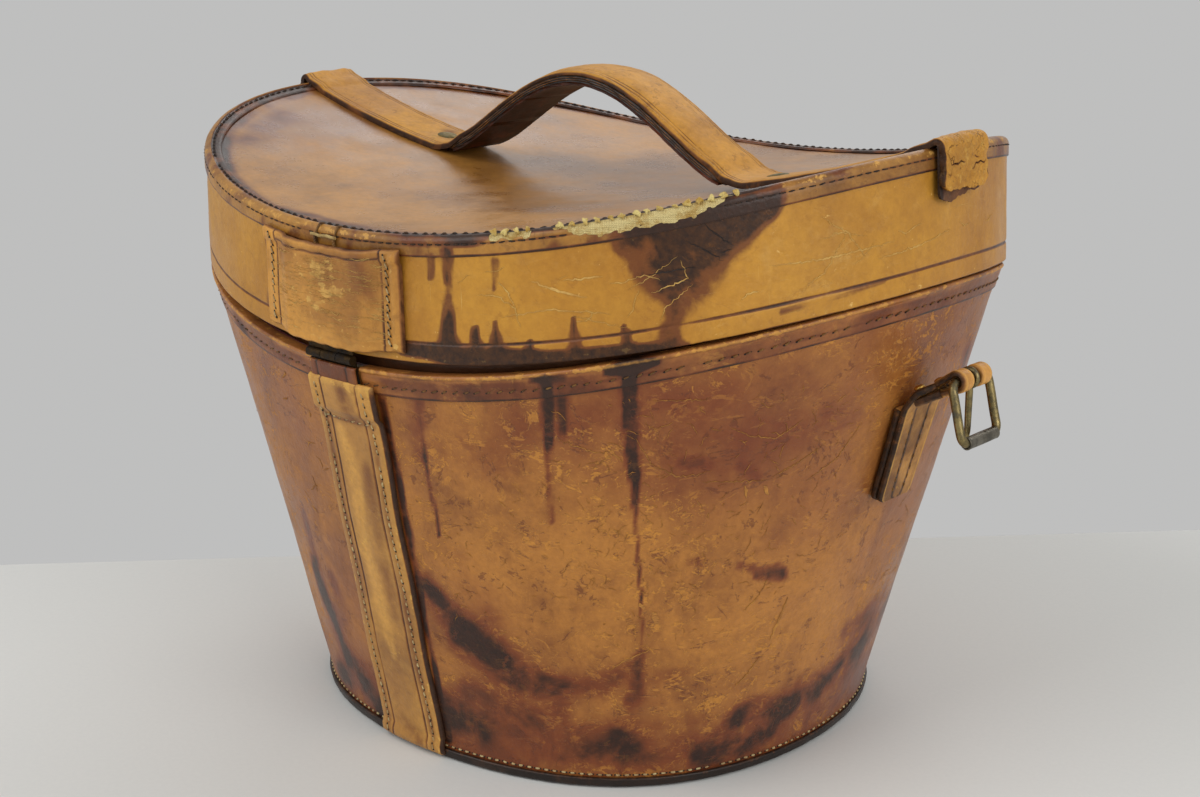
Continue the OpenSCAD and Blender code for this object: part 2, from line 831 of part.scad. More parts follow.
module buckle_prong() {
    eye_w = slot_w - 1.6;
    r = prong_d / 2;
    at_bar(0)
        difference() {
            union() {
                round_bar(loop_bore + prong_d * 0.7, eye_w);
                translate([0, 0, -prong_len + r])
                    cylinder(r = r, h = prong_len - r - loop_bore);
                translate([0, 0, -prong_len + r])
                    sphere(r = r);
            }
            round_bar(loop_bore, eye_w + 2 * past);
        }
}

module chape_right() {
    color(tan_leather)
        chape();
}

module chape_left() {
    color(tan_leather)
        mirror([1, 0, 0])
            chape();
}

module chape_rivets_right() {
    color(brass)
        chape_rivets();
}

module chape_rivets_left() {
    color(brass)
        mirror([1, 0, 0])
            chape_rivets();
}

module buckle_frame_right() {
    color(brass)
        buckle_frame();
}

module buckle_frame_left() {
    color(brass)
        mirror([1, 0, 0])
            buckle_frame();
}

module buckle_prong_right() {
    color(brass)
        buckle_prong();
}

module buckle_prong_left() {
    color(brass)
        mirror([1, 0, 0])
            buckle_prong();
}

module buckle_roller_right() {
    color(brass)
        buckle_roller();
}

module buckle_roller_left() {
    color(brass)
        mirror([1, 0, 0])
            buckle_roller();
}

body_cover();
body_board();
body_lining();
collar();
rim_binding();
base_cover();
base_board();
base_lining();
base_welt();
seam_strip();
hinge_body_leaf();
hinge_pin();
chape_right();
chape_left();
chape_rivets_right();
chape_rivets_left();
lid_band();
lid_band_board();
lid_band_lining();
lid_top_cover();
lid_top_board();
lid_top_lining();
lid_edge_binding();
lid_patch();
patch_ties();
hinge_lid_leaf();
strap();
handle_core();
handle_lining();
handle_rivets();
buckle_frame_right();
buckle_prong_right();
buckle_roller_right();
buckle_frame_left();
buckle_prong_left();
buckle_roller_left();
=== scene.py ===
import math
from functools import reduce

import bmesh
import bpy
import numpy as np
from mathutils import Matrix, Vector


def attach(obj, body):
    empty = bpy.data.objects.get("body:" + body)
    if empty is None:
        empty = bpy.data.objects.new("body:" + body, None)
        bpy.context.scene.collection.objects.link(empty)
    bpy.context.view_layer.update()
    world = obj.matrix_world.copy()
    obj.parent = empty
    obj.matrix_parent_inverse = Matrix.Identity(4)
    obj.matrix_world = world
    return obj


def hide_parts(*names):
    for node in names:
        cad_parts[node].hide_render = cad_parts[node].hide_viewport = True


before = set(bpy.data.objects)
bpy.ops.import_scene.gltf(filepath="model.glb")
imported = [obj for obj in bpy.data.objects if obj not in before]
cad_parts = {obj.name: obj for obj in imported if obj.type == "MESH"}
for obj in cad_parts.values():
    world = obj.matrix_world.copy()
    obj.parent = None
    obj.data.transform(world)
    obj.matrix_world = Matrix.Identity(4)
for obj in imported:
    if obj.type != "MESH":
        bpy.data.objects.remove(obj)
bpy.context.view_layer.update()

MM = 0.001
PI = math.pi

# Sizes of the CAD source, in millimetres
FULL = 0.02
BASE_A, BASE_B = 112.0, 103.0
RIM_A, RIM_B = 164.5, 132.2
DIP, RISE, RIM_END = 160.0, 30.0, 190.0
GAP_DIP, GAP_END = 4.7, 0.8
LID_A0, LID_A1, LID_B = 166.0, 163.5, 133.2
TOP_DIP, TOP_END = 208.7, 237.4
TOP_RISE = TOP_END - TOP_DIP
BIND = 1.0
GLUE = 0.15
COVER = 1.8
FOOT = 0.4
RIM_H, EDGE_H = 9.5, 7.2
STRAP_Y, STRAP_W = 3.0, 28.0
ARCH_X, ARCH_HALF, ARCH_H, ARCH_POWER = 1.5, 78.5, 39.3, 1.8
CORE_T, UNDER_T, LAYER_GAP = 2.5, 1.2, 0.1
RIVET_X = 88.5
BAR_X, BAR_Z = 175.196, 158.5
TILT = math.radians(15)
HINGE_X = -4.0

# Sizes that several pieces of the scene share
LINING_OUT = 4.3  # from the outside of a wall to its lining
COLLAR_OUT, COLLAR_IN = 7.7, 9.7  # from the outside of the wall to the collar's two faces
AROUND = 576  # columns of a band round the box


# The walls

def oval(a, b, phi, off=0.0):
    """The box's outline with half lengths a and b, moved out by off."""
    x = (np.cos(phi) - FULL * np.cos(3 * phi)) / (1 - FULL)
    y = (np.sin(phi) + FULL * np.sin(3 * phi)) / (1 - FULL)
    nx = b * (np.cos(phi) + 3 * FULL * np.cos(3 * phi))
    ny = a * (np.sin(phi) - 3 * FULL * np.sin(3 * phi))
    n = np.hypot(nx, ny)
    return a * x + off * nx / n, b * y + off * ny / n


def oval_x(phi):
    return (np.cos(phi) - FULL * np.cos(3 * phi)) / (1 - FULL)


def wall_a(z):
    """Half length of the body at a height."""
    return BASE_A + (RIM_A - BASE_A) * z / RIM_END


def wall_b(z):
    """Half width of the body at a height."""
    return BASE_B + (RIM_B - BASE_B) * z / DIP


def body_at(phi, z, off=0.0):
    x, y = oval(wall_a(z), wall_b(z), phi, off)
    return np.stack(np.broadcast_arrays(x, y, z), -1)


def rim_z(phi):
    return DIP + RISE * oval_x(phi) ** 2


def lid_low(phi):
    return rim_z(phi) + GAP_DIP + (GAP_END - GAP_DIP) * oval_x(phi) ** 2


def top_z(x):
    return TOP_DIP + TOP_RISE * (x / LID_A1) ** 2


def lid_top(phi):
    return top_z(LID_A1 * oval_x(phi))


def lid_at(phi, z, off=0.0):
    share = (z - lid_low(phi)) / (lid_top(phi) - lid_low(phi))
    x, y = oval(LID_A0 + (LID_A1 - LID_A0) * share, LID_B, phi, off)
    return np.stack(np.broadcast_arrays(x, y, z), -1)


def side_angle(x, a):
    """Angle on the hinge side at which a wall of half length a has this x."""
    return -PI / 2 + np.arcsin(x / a * (1 - FULL) / (1 + 3 * FULL))


# Shapes of numbers

def smooth(t):
    t = np.clip(t, 0, 1)
    return t * t * (3 - 2 * t)


def ridge(value, at, width):
    """1 where value is at a place, down to 0 a width away from it."""
    return smooth(1 - np.abs(value - at) / width)


def dip(value, at, width):
    """1 where value is at a place, fading away like a bell."""
    return np.exp(-((value - at) / width) ** 2)


def groove(z, at, depth, width):
    return -depth * dip(z, at, width)


def rounded(edge, reach, power=2):
    """1 on an edge, down to 0 a reach inside it."""
    return np.clip(1 - edge / reach, 0, 1) ** power


def strongest(*masks):
    return reduce(np.maximum, masks)


def flat(x, y):
    """2-D values as places, for ripple."""
    x, y = np.broadcast_arrays(x, y)
    return np.stack([x, y, 0 * x], -1)


def ripple(p, size, seed):
    """Smooth noise from -1 to 1 at points p, with lumps about size millimetres wide."""
    rng = np.random.default_rng(seed)
    total = np.zeros(p.shape[:-1])
    for _ in range(9):
        way = rng.normal(size=3)
        way /= np.linalg.norm(way)
        total += np.sin(p @ way * 2 * PI / (size * rng.uniform(0.6, 1.6)) + rng.uniform(0, 6.3))
    return total / 4.5


def unit(vectors):
    return vectors / np.linalg.norm(vectors, axis=-1, keepdims=True)


def cumulative(points):
    """Length along a line of points, from 0."""
    step = np.linalg.norm(np.diff(points, axis=0), axis=-1)
    return np.concatenate([[0], np.cumsum(step)])


def segment_mask(points, strokes):
    """How strongly soft strokes cover 2-D points: each stroke is a list of points, radii and a
    strength, full in the middle, half at the radius and gone at two radii."""
    left = np.ones(points.shape[:-1])
    for line, radius, strength in strokes:
        near = np.full(points.shape[:-1], 1e9)
        line = np.asarray(line, float)
        radii = np.broadcast_to(radius, len(line))
        fall = 2 if max(radii) > 3.5 else 3.5
        for a, b, ra, rb in zip(line[:-1], line[1:], radii[:-1], radii[1:]):
            d = b - a
            t = np.clip(((points - a) @ d) / max(d @ d, 1e-9), 0, 1)
            gap = np.linalg.norm(points - a - t[..., None] * d, axis=-1)
            near = np.minimum(near, gap / (ra + (rb - ra) * t))
        left = left * (1 - np.clip(strength * np.exp(-0.7 * near ** fall), 0, 1))
    return 1 - left


# Mesh building

def build(name, verts, faces, uvs, part, material, replaced=(), attrs=None, merge=False, sharp=40):
    """A mesh object in millimetres that rides on the body named first in part, and takes the place of the
    CAD nodes named in replaced."""
    mesh = bpy.data.meshes.new(name)
    mesh.from_pydata((np.asarray(verts) * MM).tolist(), [], [list(map(int, f)) for f in faces])
    layer = mesh.uv_layers.new(name="UVMap")
    layer.data.foreach_set("uv", (np.asarray(uvs, np.float32) * MM).ravel())
    for key, values in (attrs or {}).items():
        values = np.asarray(values, np.float32).ravel()
        mesh.attributes.new(key, "FLOAT", "POINT").data.foreach_set("value", values)
    work = bmesh.new()
    work.from_mesh(mesh)
    if merge:
        bmesh.ops.remove_doubles(work, verts=work.verts, dist=2e-6)
    bmesh.ops.recalc_face_normals(work, faces=work.faces)
    work.to_mesh(mesh)
    work.free()
    mesh.shade_smooth()
    mesh.set_sharp_from_angle(angle=math.radians(sharp))
    mesh.materials.append(material)
    obj = bpy.data.objects.new(name, mesh)
    bpy.context.scene.collection.objects.link(obj)
    body, slot = part
    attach(obj, body)
    if replaced:
        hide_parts(*([replaced] if isinstance(replaced, str) else replaced))
    return obj


def sweep_data(rings, closed, caps=True):
    """Faces and UVs of a closed profile of m points swept through n places."""
    n, m = rings.shape[:2]
    spans = n if closed else n - 1
    i = np.arange(spans)[:, None]
    j = np.arange(m)[None, :]
    k, nxt = (j + 1) % m, (i + 1) % n
    quads = np.stack([i * m + j, nxt * m + j, nxt * m + k, i * m + k], -1).reshape(-1, 4)
    path = rings.mean(1)
    along = cumulative(np.vstack([path, path[:1]]))[: spans + 1]
    middle = rings[n // 2]
    around = cumulative(np.vstack([middle, middle[:1]]))
    u0, u1 = along[i] + 0 * j, along[i + 1] + 0 * j
    v0, v1 = around[j] + 0 * i, around[j + 1] + 0 * i
    corners = [np.stack(pair, -1) for pair in ((u0, v0), (u1, v0), (u1, v1), (u0, v1))]
    faces, uvs = quads.tolist(), np.stack(corners, 2).reshape(-1, 2).tolist()
    if caps and not closed:
        for base, step in ((0, 1), ((n - 1) * m, -1)):
            for a in range(m // 2 - 1):
                quad = [base + a, base + a + 1, base + m - 2 - a, base + m - 1 - a][::step]
                faces.append(quad)
                uvs += [[around[q - base], 0.0] for q in quad]
    return faces, uvs


def sweep(name, rings, closed, part, material, replaced=(), attrs=None, caps=True, sharp=40):
    faces, uvs = sweep_data(rings, closed, caps)
    return build(name, rings.reshape(-1, 3), faces, uvs, part, material, replaced, attrs, False, sharp)


def shell(face, back):
    """Rings that go along a face and return along the back of it."""
    return np.concatenate([face, back[:, ::-1]], 1)


def mirrored(row, rings):
    """Values along a face, repeated in reverse on the back, for every ring."""
    return np.concatenate([row, row[::-1]])[None, :] + 0 * rings[..., 2]


def painted(rings, gold=0.0, stain=0.0, wear=0.0, **more):
    """The painted attributes of a sweep's points, from arrays or single values."""
    values = {"gold": gold, "stain": stain, "wear": wear, **more}
    return {key: value + np.zeros(rings.shape[:2]) for key, value in values.items()}


def edge_chain(rows, radius):
    """Points of a face between two rounded edges, as (share of the height, millimetres from that
    end, drop below the face)."""
    bends = np.linspace(0, PI / 2, 4)
    low = [(0.0, radius * (1 - math.cos(t)), radius * (1 - math.sin(t))) for t in bends[:-1]]
    middle = [(float(s), radius * (1 - 2 * s), 0.0) for s in rows]
    high = [(1.0, -radius * (1 - math.cos(t)), radius * (1 - math.sin(t))) for t in bends[-2::-1]]
    return np.array(low + middle + high)


def wall_band(place, phis, low, high, inner, outer, chain, relief=None):
    """Rings of a band on a wall: low, high, inner and outer are values or arrays over phi."""
    one = np.ones((len(phis), 1))
    low, high, inner, outer = [np.reshape(v, (-1, 1)) * one for v in (low, high, inner, outer)]
    share, shift, drop = chain.T
    z = low + (high - low) * share + shift
    off = outer - drop
    phi = phis[:, None] + 0 * z
    if relief is not None:
        off = off + relief(phi, z)
    return shell(place(phi, z, off), place(phi, z, inner + 0 * z))


def turn(count):
    return np.arange(count) * 2 * PI / count


def bead(parts, place, way, up, side, reach, lift, radius, sides):
    """Adds a closed bead to parts (points, faces, UVs): rings at distances along way, each of
    them lifted and with its own radius."""
    verts, faces, uvs = parts
    base = len(verts)
    for s, h, r in zip(reach, lift, radius):
        for k in range(sides):
            a = 2 * PI * k / sides
            verts.append(place + way * s + up * (h + r * math.sin(a)) + side * r * math.cos(a))
    last = len(reach) - 1
    for i in range(last):
        for k in range(sides):
            k2, a, b = (k + 1) % sides, base + i * sides, base + (i + 1) * sides
            faces.append([a + k, b + k, b + k2, a + k2])
            uvs += [[i, k], [i + 1, k], [i + 1, k + 1], [i, k + 1]]
    for first, flip in ((base, 1), (base + last * sides, -1)):
        faces.append([first + k for k in range(sides)][::flip])
        uvs += [[0.0, 0.0]] * sides


def tube(name, centres, radii, sides, part, material, replaced=(), closed=False):
    """A tube along centres, with flat ends where it is open."""
    c = np.asarray(centres, float)
    radii = np.asarray(radii, float) * np.ones(len(c))
    t = unit(np.roll(c, -1, 0) - np.roll(c, 1, 0) if closed else np.gradient(c, axis=0))
    ref = np.array([0, 1.0, 0]) if np.abs(t[:, 1]).max() < 0.9 else np.array([0.35, 0.2, 0.9])
    a = turn(sides)[:, None]
    u = np.cross(t[0], ref)
    rings = []
    for i in range(len(c)):
        u = unit(u - t[i] * (u @ t[i]))
        rings.append(c[i] + radii[i] * (np.cos(a) * u + np.sin(a) * np.cross(t[i], u)))
    rings = np.array(rings)
    faces, uvs = sweep_data(rings, closed, False)
    if not closed:
        faces.append(list(range(sides))[::-1])
        faces.append([(len(c) - 1) * sides + k for k in range(sides)])
        uvs += [[0.0, 0.0]] * (2 * sides)
    return build(name, rings.reshape(-1, 3), faces, uvs, part, material, replaced, sharp=50)


# Material building

def rgb(code):
    """A colour written as sRGB in hex, as the linear values that a shader takes."""
    parts = [int(code[i:i + 2], 16) / 255 for i in (0, 2, 4)]
    return [c / 12.92 if c <= 0.04045 else ((c + 0.055) / 1.055) ** 2.4 for c in parts] + [1.0]


class Graph:
    """Small helper to write a material's nodes as expressions."""

    def __init__(self, name):
        self.material = bpy.data.materials.new(name)
        self.material.use_nodes = True
        self.tree = self.material.node_tree
        self.shader = self.tree.nodes["Principled BSDF"]
        coords = self.tree.nodes.new("ShaderNodeTexCoord")
        self.place = coords.outputs["Object"]
        self.uv = coords.outputs["UV"]

    def node(self, kind, sockets=None, **props):
        node = self.tree.nodes.new(kind)
        for key, value in props.items():
            setattr(node, key, value)
        for key, value in (sockets or {}).items():
            if isinstance(value, bpy.types.NodeSocket):
                self.tree.links.new(value, node.inputs[key])
            else:
                node.inputs[key].default_value = value
        return node

    def math(self, op, a, b=0.0, clamp=False):
        return self.node("ShaderNodeMath", {0: a, 1: b}, operation=op, use_clamp=clamp).outputs[0]

    def add(self, *values):
        return reduce(lambda a, b: self.math("ADD", a, b), values)

    def times(self, *values):
        return reduce(lambda a, b: self.math("MULTIPLY", a, b), values)

    def most(self, *values):
        return reduce(lambda a, b: self.math("MAXIMUM", a, b), values)

    def noise(self, scale, detail=3.0, rough=0.55, vector=None, distort=0.0):
        sockets = {"Vector": vector or self.place, "Scale": scale, "Detail": detail,
                   "Roughness": rough, "Distortion": distort}
        return self.node("ShaderNodeTexNoise", sockets).outputs["Fac"]

    def cells(self, scale, feature, vector):
        sockets = {"Vector": vector, "Scale": scale}
        return self.node("ShaderNodeTexVoronoi", sockets, feature=feature).outputs["Distance"]

    def wave(self, scale, distort, vector, axis="X"):
        sockets = {"Vector": vector, "Scale": scale, "Distortion": distort}
        return self.node("ShaderNodeTexWave", sockets, bands_direction=axis).outputs["Fac"]

    def step(self, value, low, high, out_low=0.0, out_high=1.0):
        sockets = {"Value": value, "From Min": low, "From Max": high, "To Min": out_low, "To Max": out_high}
        return self.node("ShaderNodeMapRange", sockets, interpolation_type="SMOOTHSTEP").outputs[0]

    def mix(self, factor, a, b):
        return self.node("ShaderNodeMix", {0: factor, 6: a, 7: b}, data_type="RGBA").outputs[2]

    def attr(self, name):
        return self.node("ShaderNodeAttribute", attribute_name=name).outputs["Fac"]

    def mapped(self, vector, scale=(1, 1, 1), angle=0.0, move=(0, 0, 0)):
        sockets = {"Vector": vector, "Scale": scale, "Rotation": (0, 0, angle), "Location": move}
        return self.node("ShaderNodeMapping", sockets).outputs[0]

    def warped(self, amount, scale, vector=None):
        """The place moved about by noise, by about amount metres."""
        vector = vector or self.place
        sockets = {"Vector": vector, "Scale": scale, "Detail": 3.0}
        noise = self.node("ShaderNodeTexNoise", sockets).outputs["Color"]
        middle = (0.5, 0.5, 0.5)
        shift = self.node("ShaderNodeVectorMath", {0: noise, 1: middle}, operation="SUBTRACT").outputs[0]
        sockets = {0: shift, "Scale": amount * 2}
        shift = self.node("ShaderNodeVectorMath", sockets, operation="SCALE").outputs[0]
        return self.node("ShaderNodeVectorMath", {0: vector, 1: shift}, operation="ADD").outputs[0]

    def finish(self, color, roughness, height=None, distance=0.001, strength=1.0, **fixed):
        """Links the surface to the shader and sets the sockets that have one value all over."""
        links, inputs = self.tree.links, self.shader.inputs
        links.new(color, inputs["Base Color"])
        if isinstance(roughness, bpy.types.NodeSocket):
            links.new(roughness, inputs["Roughness"])
        else:
            inputs["Roughness"].default_value = roughness
        if height is not None:
            sockets = {"Height": height, "Distance": distance, "Strength": strength}
            links.new(self.node("ShaderNodeBump", sockets).outputs[0], inputs["Normal"])
        for key, value in fixed.items():
            inputs[key.replace("_", " ")].default_value = value
        return self.material


class Hide(Graph):
    """Nodes that the parts of a leather share: its noises and painted masks, and what has been
    mixed so far of its colour, height and roughness."""

    def __init__(self, name):
        super().__init__(name)
        self.medium = self.noise(38, 5.0, 0.62)
        self.fine = self.noise(420, 5.0, 0.62)
        self.speck = self.noise(170, 5.0, 0.7)
        self.gold, self.stain, self.wear = [self.attr(key) for key in ("gold", "stain", "wear")]
        self.color, self.height = None, 0.0

    def dye(self, factor, code):
        self.color = self.mix(factor, self.color, rgb(code))

    def raise_by(self, amount, share):
        self.height = self.add(self.height, self.times(amount, share))

    def uneven(self, share):
        """Specks from minus to plus half of a share, to break up a mask's edge."""
        return self.times(self.add(self.speck, -0.5), share)

    def vein(self, scale, stretch, width, seed, bend, ragged):
        """A wandering line where a noise crosses its middle, ragged and broken up by specks."""
        field = self.noise(scale, 5.0, 0.6, self.mapped(self.place, stretch, 0.0, seed), bend)
        off_line = self.math("ABSOLUTE", self.add(field, -0.5))
        gap = self.add(off_line, self.times(self.add(self.speck, -0.55), -ragged))
        return self.step(gap, width * 0.4, width, 1.0, 0.0)


def tones(g, light, mid, deep, raw, mottle):
    """Clouds of three tones, lighter where gold is painted, as golden tone and in places as painted light.
    """
    tone = g.add(g.times(g.noise(9, 3.0, 0.5), 0.8), g.times(g.medium, 0.6))
    g.color = g.mix(g.step(tone, 0.45, 0.95), rgb(mid), rgb(light))
    g.dye(g.step(g.add(g.gold, g.times(g.add(g.medium, -0.5), 0.8)), 0.1, 0.95), light)
    cloud = g.noise(22, 7.0, 0.7, g.mapped(g.place, (1, 1, 0.7)), 0.4)
    freckle = g.noise(75, 5.0, 0.6, None, 0.4)
    g.dye(g.step(cloud, 0.4, 0.75, 0.0, 0.8 * mottle), deep)
    g.dye(g.step(freckle, 0.5, 0.78, 0.0, 0.35 * mottle), deep)
    g.dye(g.step(g.speck, 0.5, 0.74, 0.0, 0.28 * mottle), deep)
    g.dye(g.step(freckle, 0.24, 0.44, 0.3 * mottle, 0.0), raw)


def stains_and_shade(g, red, dark, crisp):
    """Dark and red painted marks, real soiling and painted shade alike, uneven inside and with no hard edge;
    returns how clear of them a place is.
    """
    blot = g.times(g.stain, g.step(g.noise(52, 6.0, 0.6, None, 0.4), 0.25, 0.72, 0.4, 1.4))
    g.dye(g.step(blot, 0.04 + 0.12 * crisp, 0.6 - 0.24 * crisp, 0.0, 0.88), red)
    g.dye(g.step(blot, 0.42 + 0.06 * crisp, 1.0 - 0.22 * crisp, 0.0, 0.94), dark)
    return g.step(blot, 0.15, 0.7, 1.0, 0.1)


def cracks(g, clear, crackle, deep):
    """Three sizes of cracks that show the raw hide, and old ones that have gone dark."""
    where = g.step(g.noise(17, 3.0, 0.55), 0.6 - 0.18 * crackle, 0.72 - 0.14 * crackle)
    coarse = g.times(g.vein(24, (1, 1, 2.4), 0.012, (0, 0, 0), 1.2, 0.13), g.step(where, 0.0, 1.0, 0.35,
            1.0))
    thin = g.times(g.vein(52, (1, 1, 1.7), 0.02, (3, 1, 2), 1.0, 0.2), where)
    moved = g.mapped(g.warped(0.003, 330, g.warped(0.008, 60)), (1, 1, 1.5))
    net = g.step(g.cells(150, "DISTANCE_TO_EDGE", moved), 0.01, 0.06, 1.0, 0.0)
    net = g.times(net, where, g.step(g.noise(230, 4.0, 0.7), 0.5, 0.58), 0.7)
    share = min(1.0, crackle)
    lines = g.times(g.most(coarse, thin, net), share, clear)
    age = g.times(g.vein(31, (1, 1, 1.3), 0.01, (7, 4, 5), 1.0, 0.12), share)
    g.dye(g.times(age, 0.55), deep)
    g.raise_by(lines, -0.16)
    g.raise_by(age, -0.12)
    return lines


def scratches(g, clear, lines, scratch, raw, deep):
    """Scratches in three directions, chips and rubbed places; returns how bare the hide is."""
    ways = [((30, 2300, 1), 0.5, (0, 0, 0)), ((2100, 34, 1), 0.35, (3, 5, 0)),
            ((46, 2600, 1), -0.9, (9, 2, 0))]
    streaks = g.most(*[g.noise(1.0, 2.0, 0.5, g.mapped(g.uv, *way)) for way in ways])
    places = g.step(g.noise(40, 3.0, 0.6), 0.44, 0.68)
    open_share = g.times(clear, scratch)
    cut = g.times(g.step(streaks, 0.70, 0.78), places, open_share)
    chips = g.add(g.noise(260, 4.0, 0.7), g.times(g.wear, 0.35))
    chips = g.times(g.step(chips, 0.68, 0.74), open_share)
    rubbed = g.step(g.add(g.wear, g.uneven(1.1 if scratch else 0.3)), 0.35, 0.9)
    bare = g.most(g.times(cut, 0.8), g.times(lines, 0.8), chips, g.times(rubbed, 0.9))
    bare = g.math("MINIMUM", bare, 1.0)
    g.dye(g.times(bare, 0.8), raw)
    g.dye(g.step(g.fine, 0.3, 0.75, 0.0, 0.22), deep)
    g.raise_by(cut, -0.12)
    return bare


def cracked_ends(g, pebbly, red, deep):
    """The coarse pebbled and cracked surface of worn ends, where wear is painted."""
    pebbles = g.cells(430, "F1", g.warped(0.0018, 330))
    g.raise_by(g.times(g.step(pebbles, 0.05, 0.75, 1.0, 0.0), g.step(g.wear, 0.1, 0.6)), 0.9 * pebbly)
    g.dye(g.times(g.step(pebbles, 0.35, 0.8), g.step(g.wear, 0.1, 0.7, 0.0, 0.3)), deep)
    split = g.cells(175, "DISTANCE_TO_EDGE", g.warped(0.006, 150))
    split = g.times(g.step(split, 0.004, 0.035, 1.0, 0.0), g.step(g.noise(90, 4.0, 0.7), 0.5, 0.6))
    split = g.times(split, g.step(g.wear, 0.2, 0.32))
    g.dye(g.times(split, 0.6), red)
    g.raise_by(split, -0.5)


def canvas_shows(g):
    """Soiled canvas where the leather is painted as worn through; returns its mask."""
    mask = g.step(g.add(g.attr("canvas"), g.uneven(0.5)), 0.46, 0.54)
    weave = g.times(g.wave(430.0, 3.0, g.place, "Z"), g.wave(400.0, 3.0, g.uv, "X"))
    cream = g.mix(g.step(g.noise(200, 5.0, 0.75), 0.4, 0.7), rgb("e8d494"), rgb("b89145"))
    cream = g.mix(g.step(weave, 0.0, 0.3, 0.35, 0.0), cream, rgb("7a5c2c"))
    g.color = g.mix(mask, g.color, cream)
    g.height = g.times(g.height, g.add(1.0, g.times(mask, -1.0)))
    g.raise_by(g.times(mask, weave), 0.4)
    g.raise_by(mask, -0.35)
    return mask


def leather(name, light, mid, deep, raw="d09a52", red="6a3318", dark="281912", gloss=0.36, crackle=0.5,
            scratch=0.5, grain=1.0, mottle=1.0, sheen=0.35, canvas=False, pebbly=0.0, crisp=0.0):
    """Old vegetable-tanned leather: light, mid and deep tones, raw hide where it is worn, red and dark marks
    that are partly real soiling and partly painted shade; crisp sharpens their edges, pebbly and canvas add
    what their masks paint."""
    g = Hide("leather_" + name)
    tones(g, light, mid, deep, raw, mottle)
    clear = stains_and_shade(g, red, dark, crisp)
    lines = cracks(g, clear, crackle, deep)
    bare = scratches(g, clear, lines, scratch, raw, deep)
    rough = g.add(g.step(g.medium, 0.3, 0.75, gloss - 0.06, gloss + 0.14), g.times(bare, 0.25))
    g.raise_by(g.cells(1000, "SMOOTH_F1", g.warped(0.0005, 900)), 0.08 * grain)
    g.raise_by(g.fine, 0.2 * grain)
    g.raise_by(g.medium, (0.25 if scratch else 0.05) + 0.2 * grain)
    if pebbly:
        cracked_ends(g, pebbly, red, deep)
    if canvas:
        rough = g.add(rough, g.times(canvas_shows(g), 0.4))
    return g.finish(g.color, rough, g.height, 0.001, 0.85, Specular_IOR_Level=sheen,
                    Coat_Weight=0.08, Coat_Roughness=0.3)


def cloth(name, color_a, color_b, weave=900.0):
    g = Graph("cloth_" + name)
    threads = g.most(*[g.wave(weave / 6.28, 0.4, g.place, axis) for axis in "XZY"])
    shade = g.noise(30, 4.0, 0.6)
    color = g.mix(g.step(shade, 0.3, 0.7), rgb(color_a), rgb(color_b))
    color = g.mix(g.times(threads, 0.2), color, rgb(color_b))
    return g.finish(color, g.step(shade, 0.2, 0.8, 0.42, 0.62), threads, 0.0002, 0.6,
                    Sheen_Weight=0.35, Sheen_Roughness=0.4)


def metal(name, clean, dull, tarnish, amount=0.5, gloss=0.32):
    g = Graph(name)
    patch = g.noise(160, 6.0, 0.7)
    fine = g.noise(1400, 4.0, 0.6)
    pits = g.noise(700, 5.0, 0.7)
    color = g.mix(g.step(patch, 0.35, 0.65), rgb(clean), rgb(dull))
    crust = g.step(g.add(patch, g.times(fine, 0.25)), 0.78 - 0.35 * amount, 0.9 - 0.2 * amount)
    rough = g.add(g.step(pits, 0.3, 0.7, gloss - 0.08, gloss + 0.2), g.times(crust, 0.25))
    g.tree.links.new(g.step(crust, 0.0, 1.0, 1.0, 0.35), g.shader.inputs["Metallic"])
    height = g.add(g.times(pits, 0.12), g.times(fine, 0.05))
    return g.finish(g.mix(crust, color, rgb(tarnish)), rough, height, 0.0006, 0.6)


def thread(name, color_a, color_b):
    g = Graph(name)
    twist = g.wave(420.0, 0.5, g.mapped(g.uv, (1, 1, 1), 0.7))
    color = g.mix(g.step(g.noise(190, 4.0, 0.6), 0.35, 0.65), rgb(color_a), rgb(color_b))
    return g.finish(color, 0.62, twist, 0.0003, 0.7)


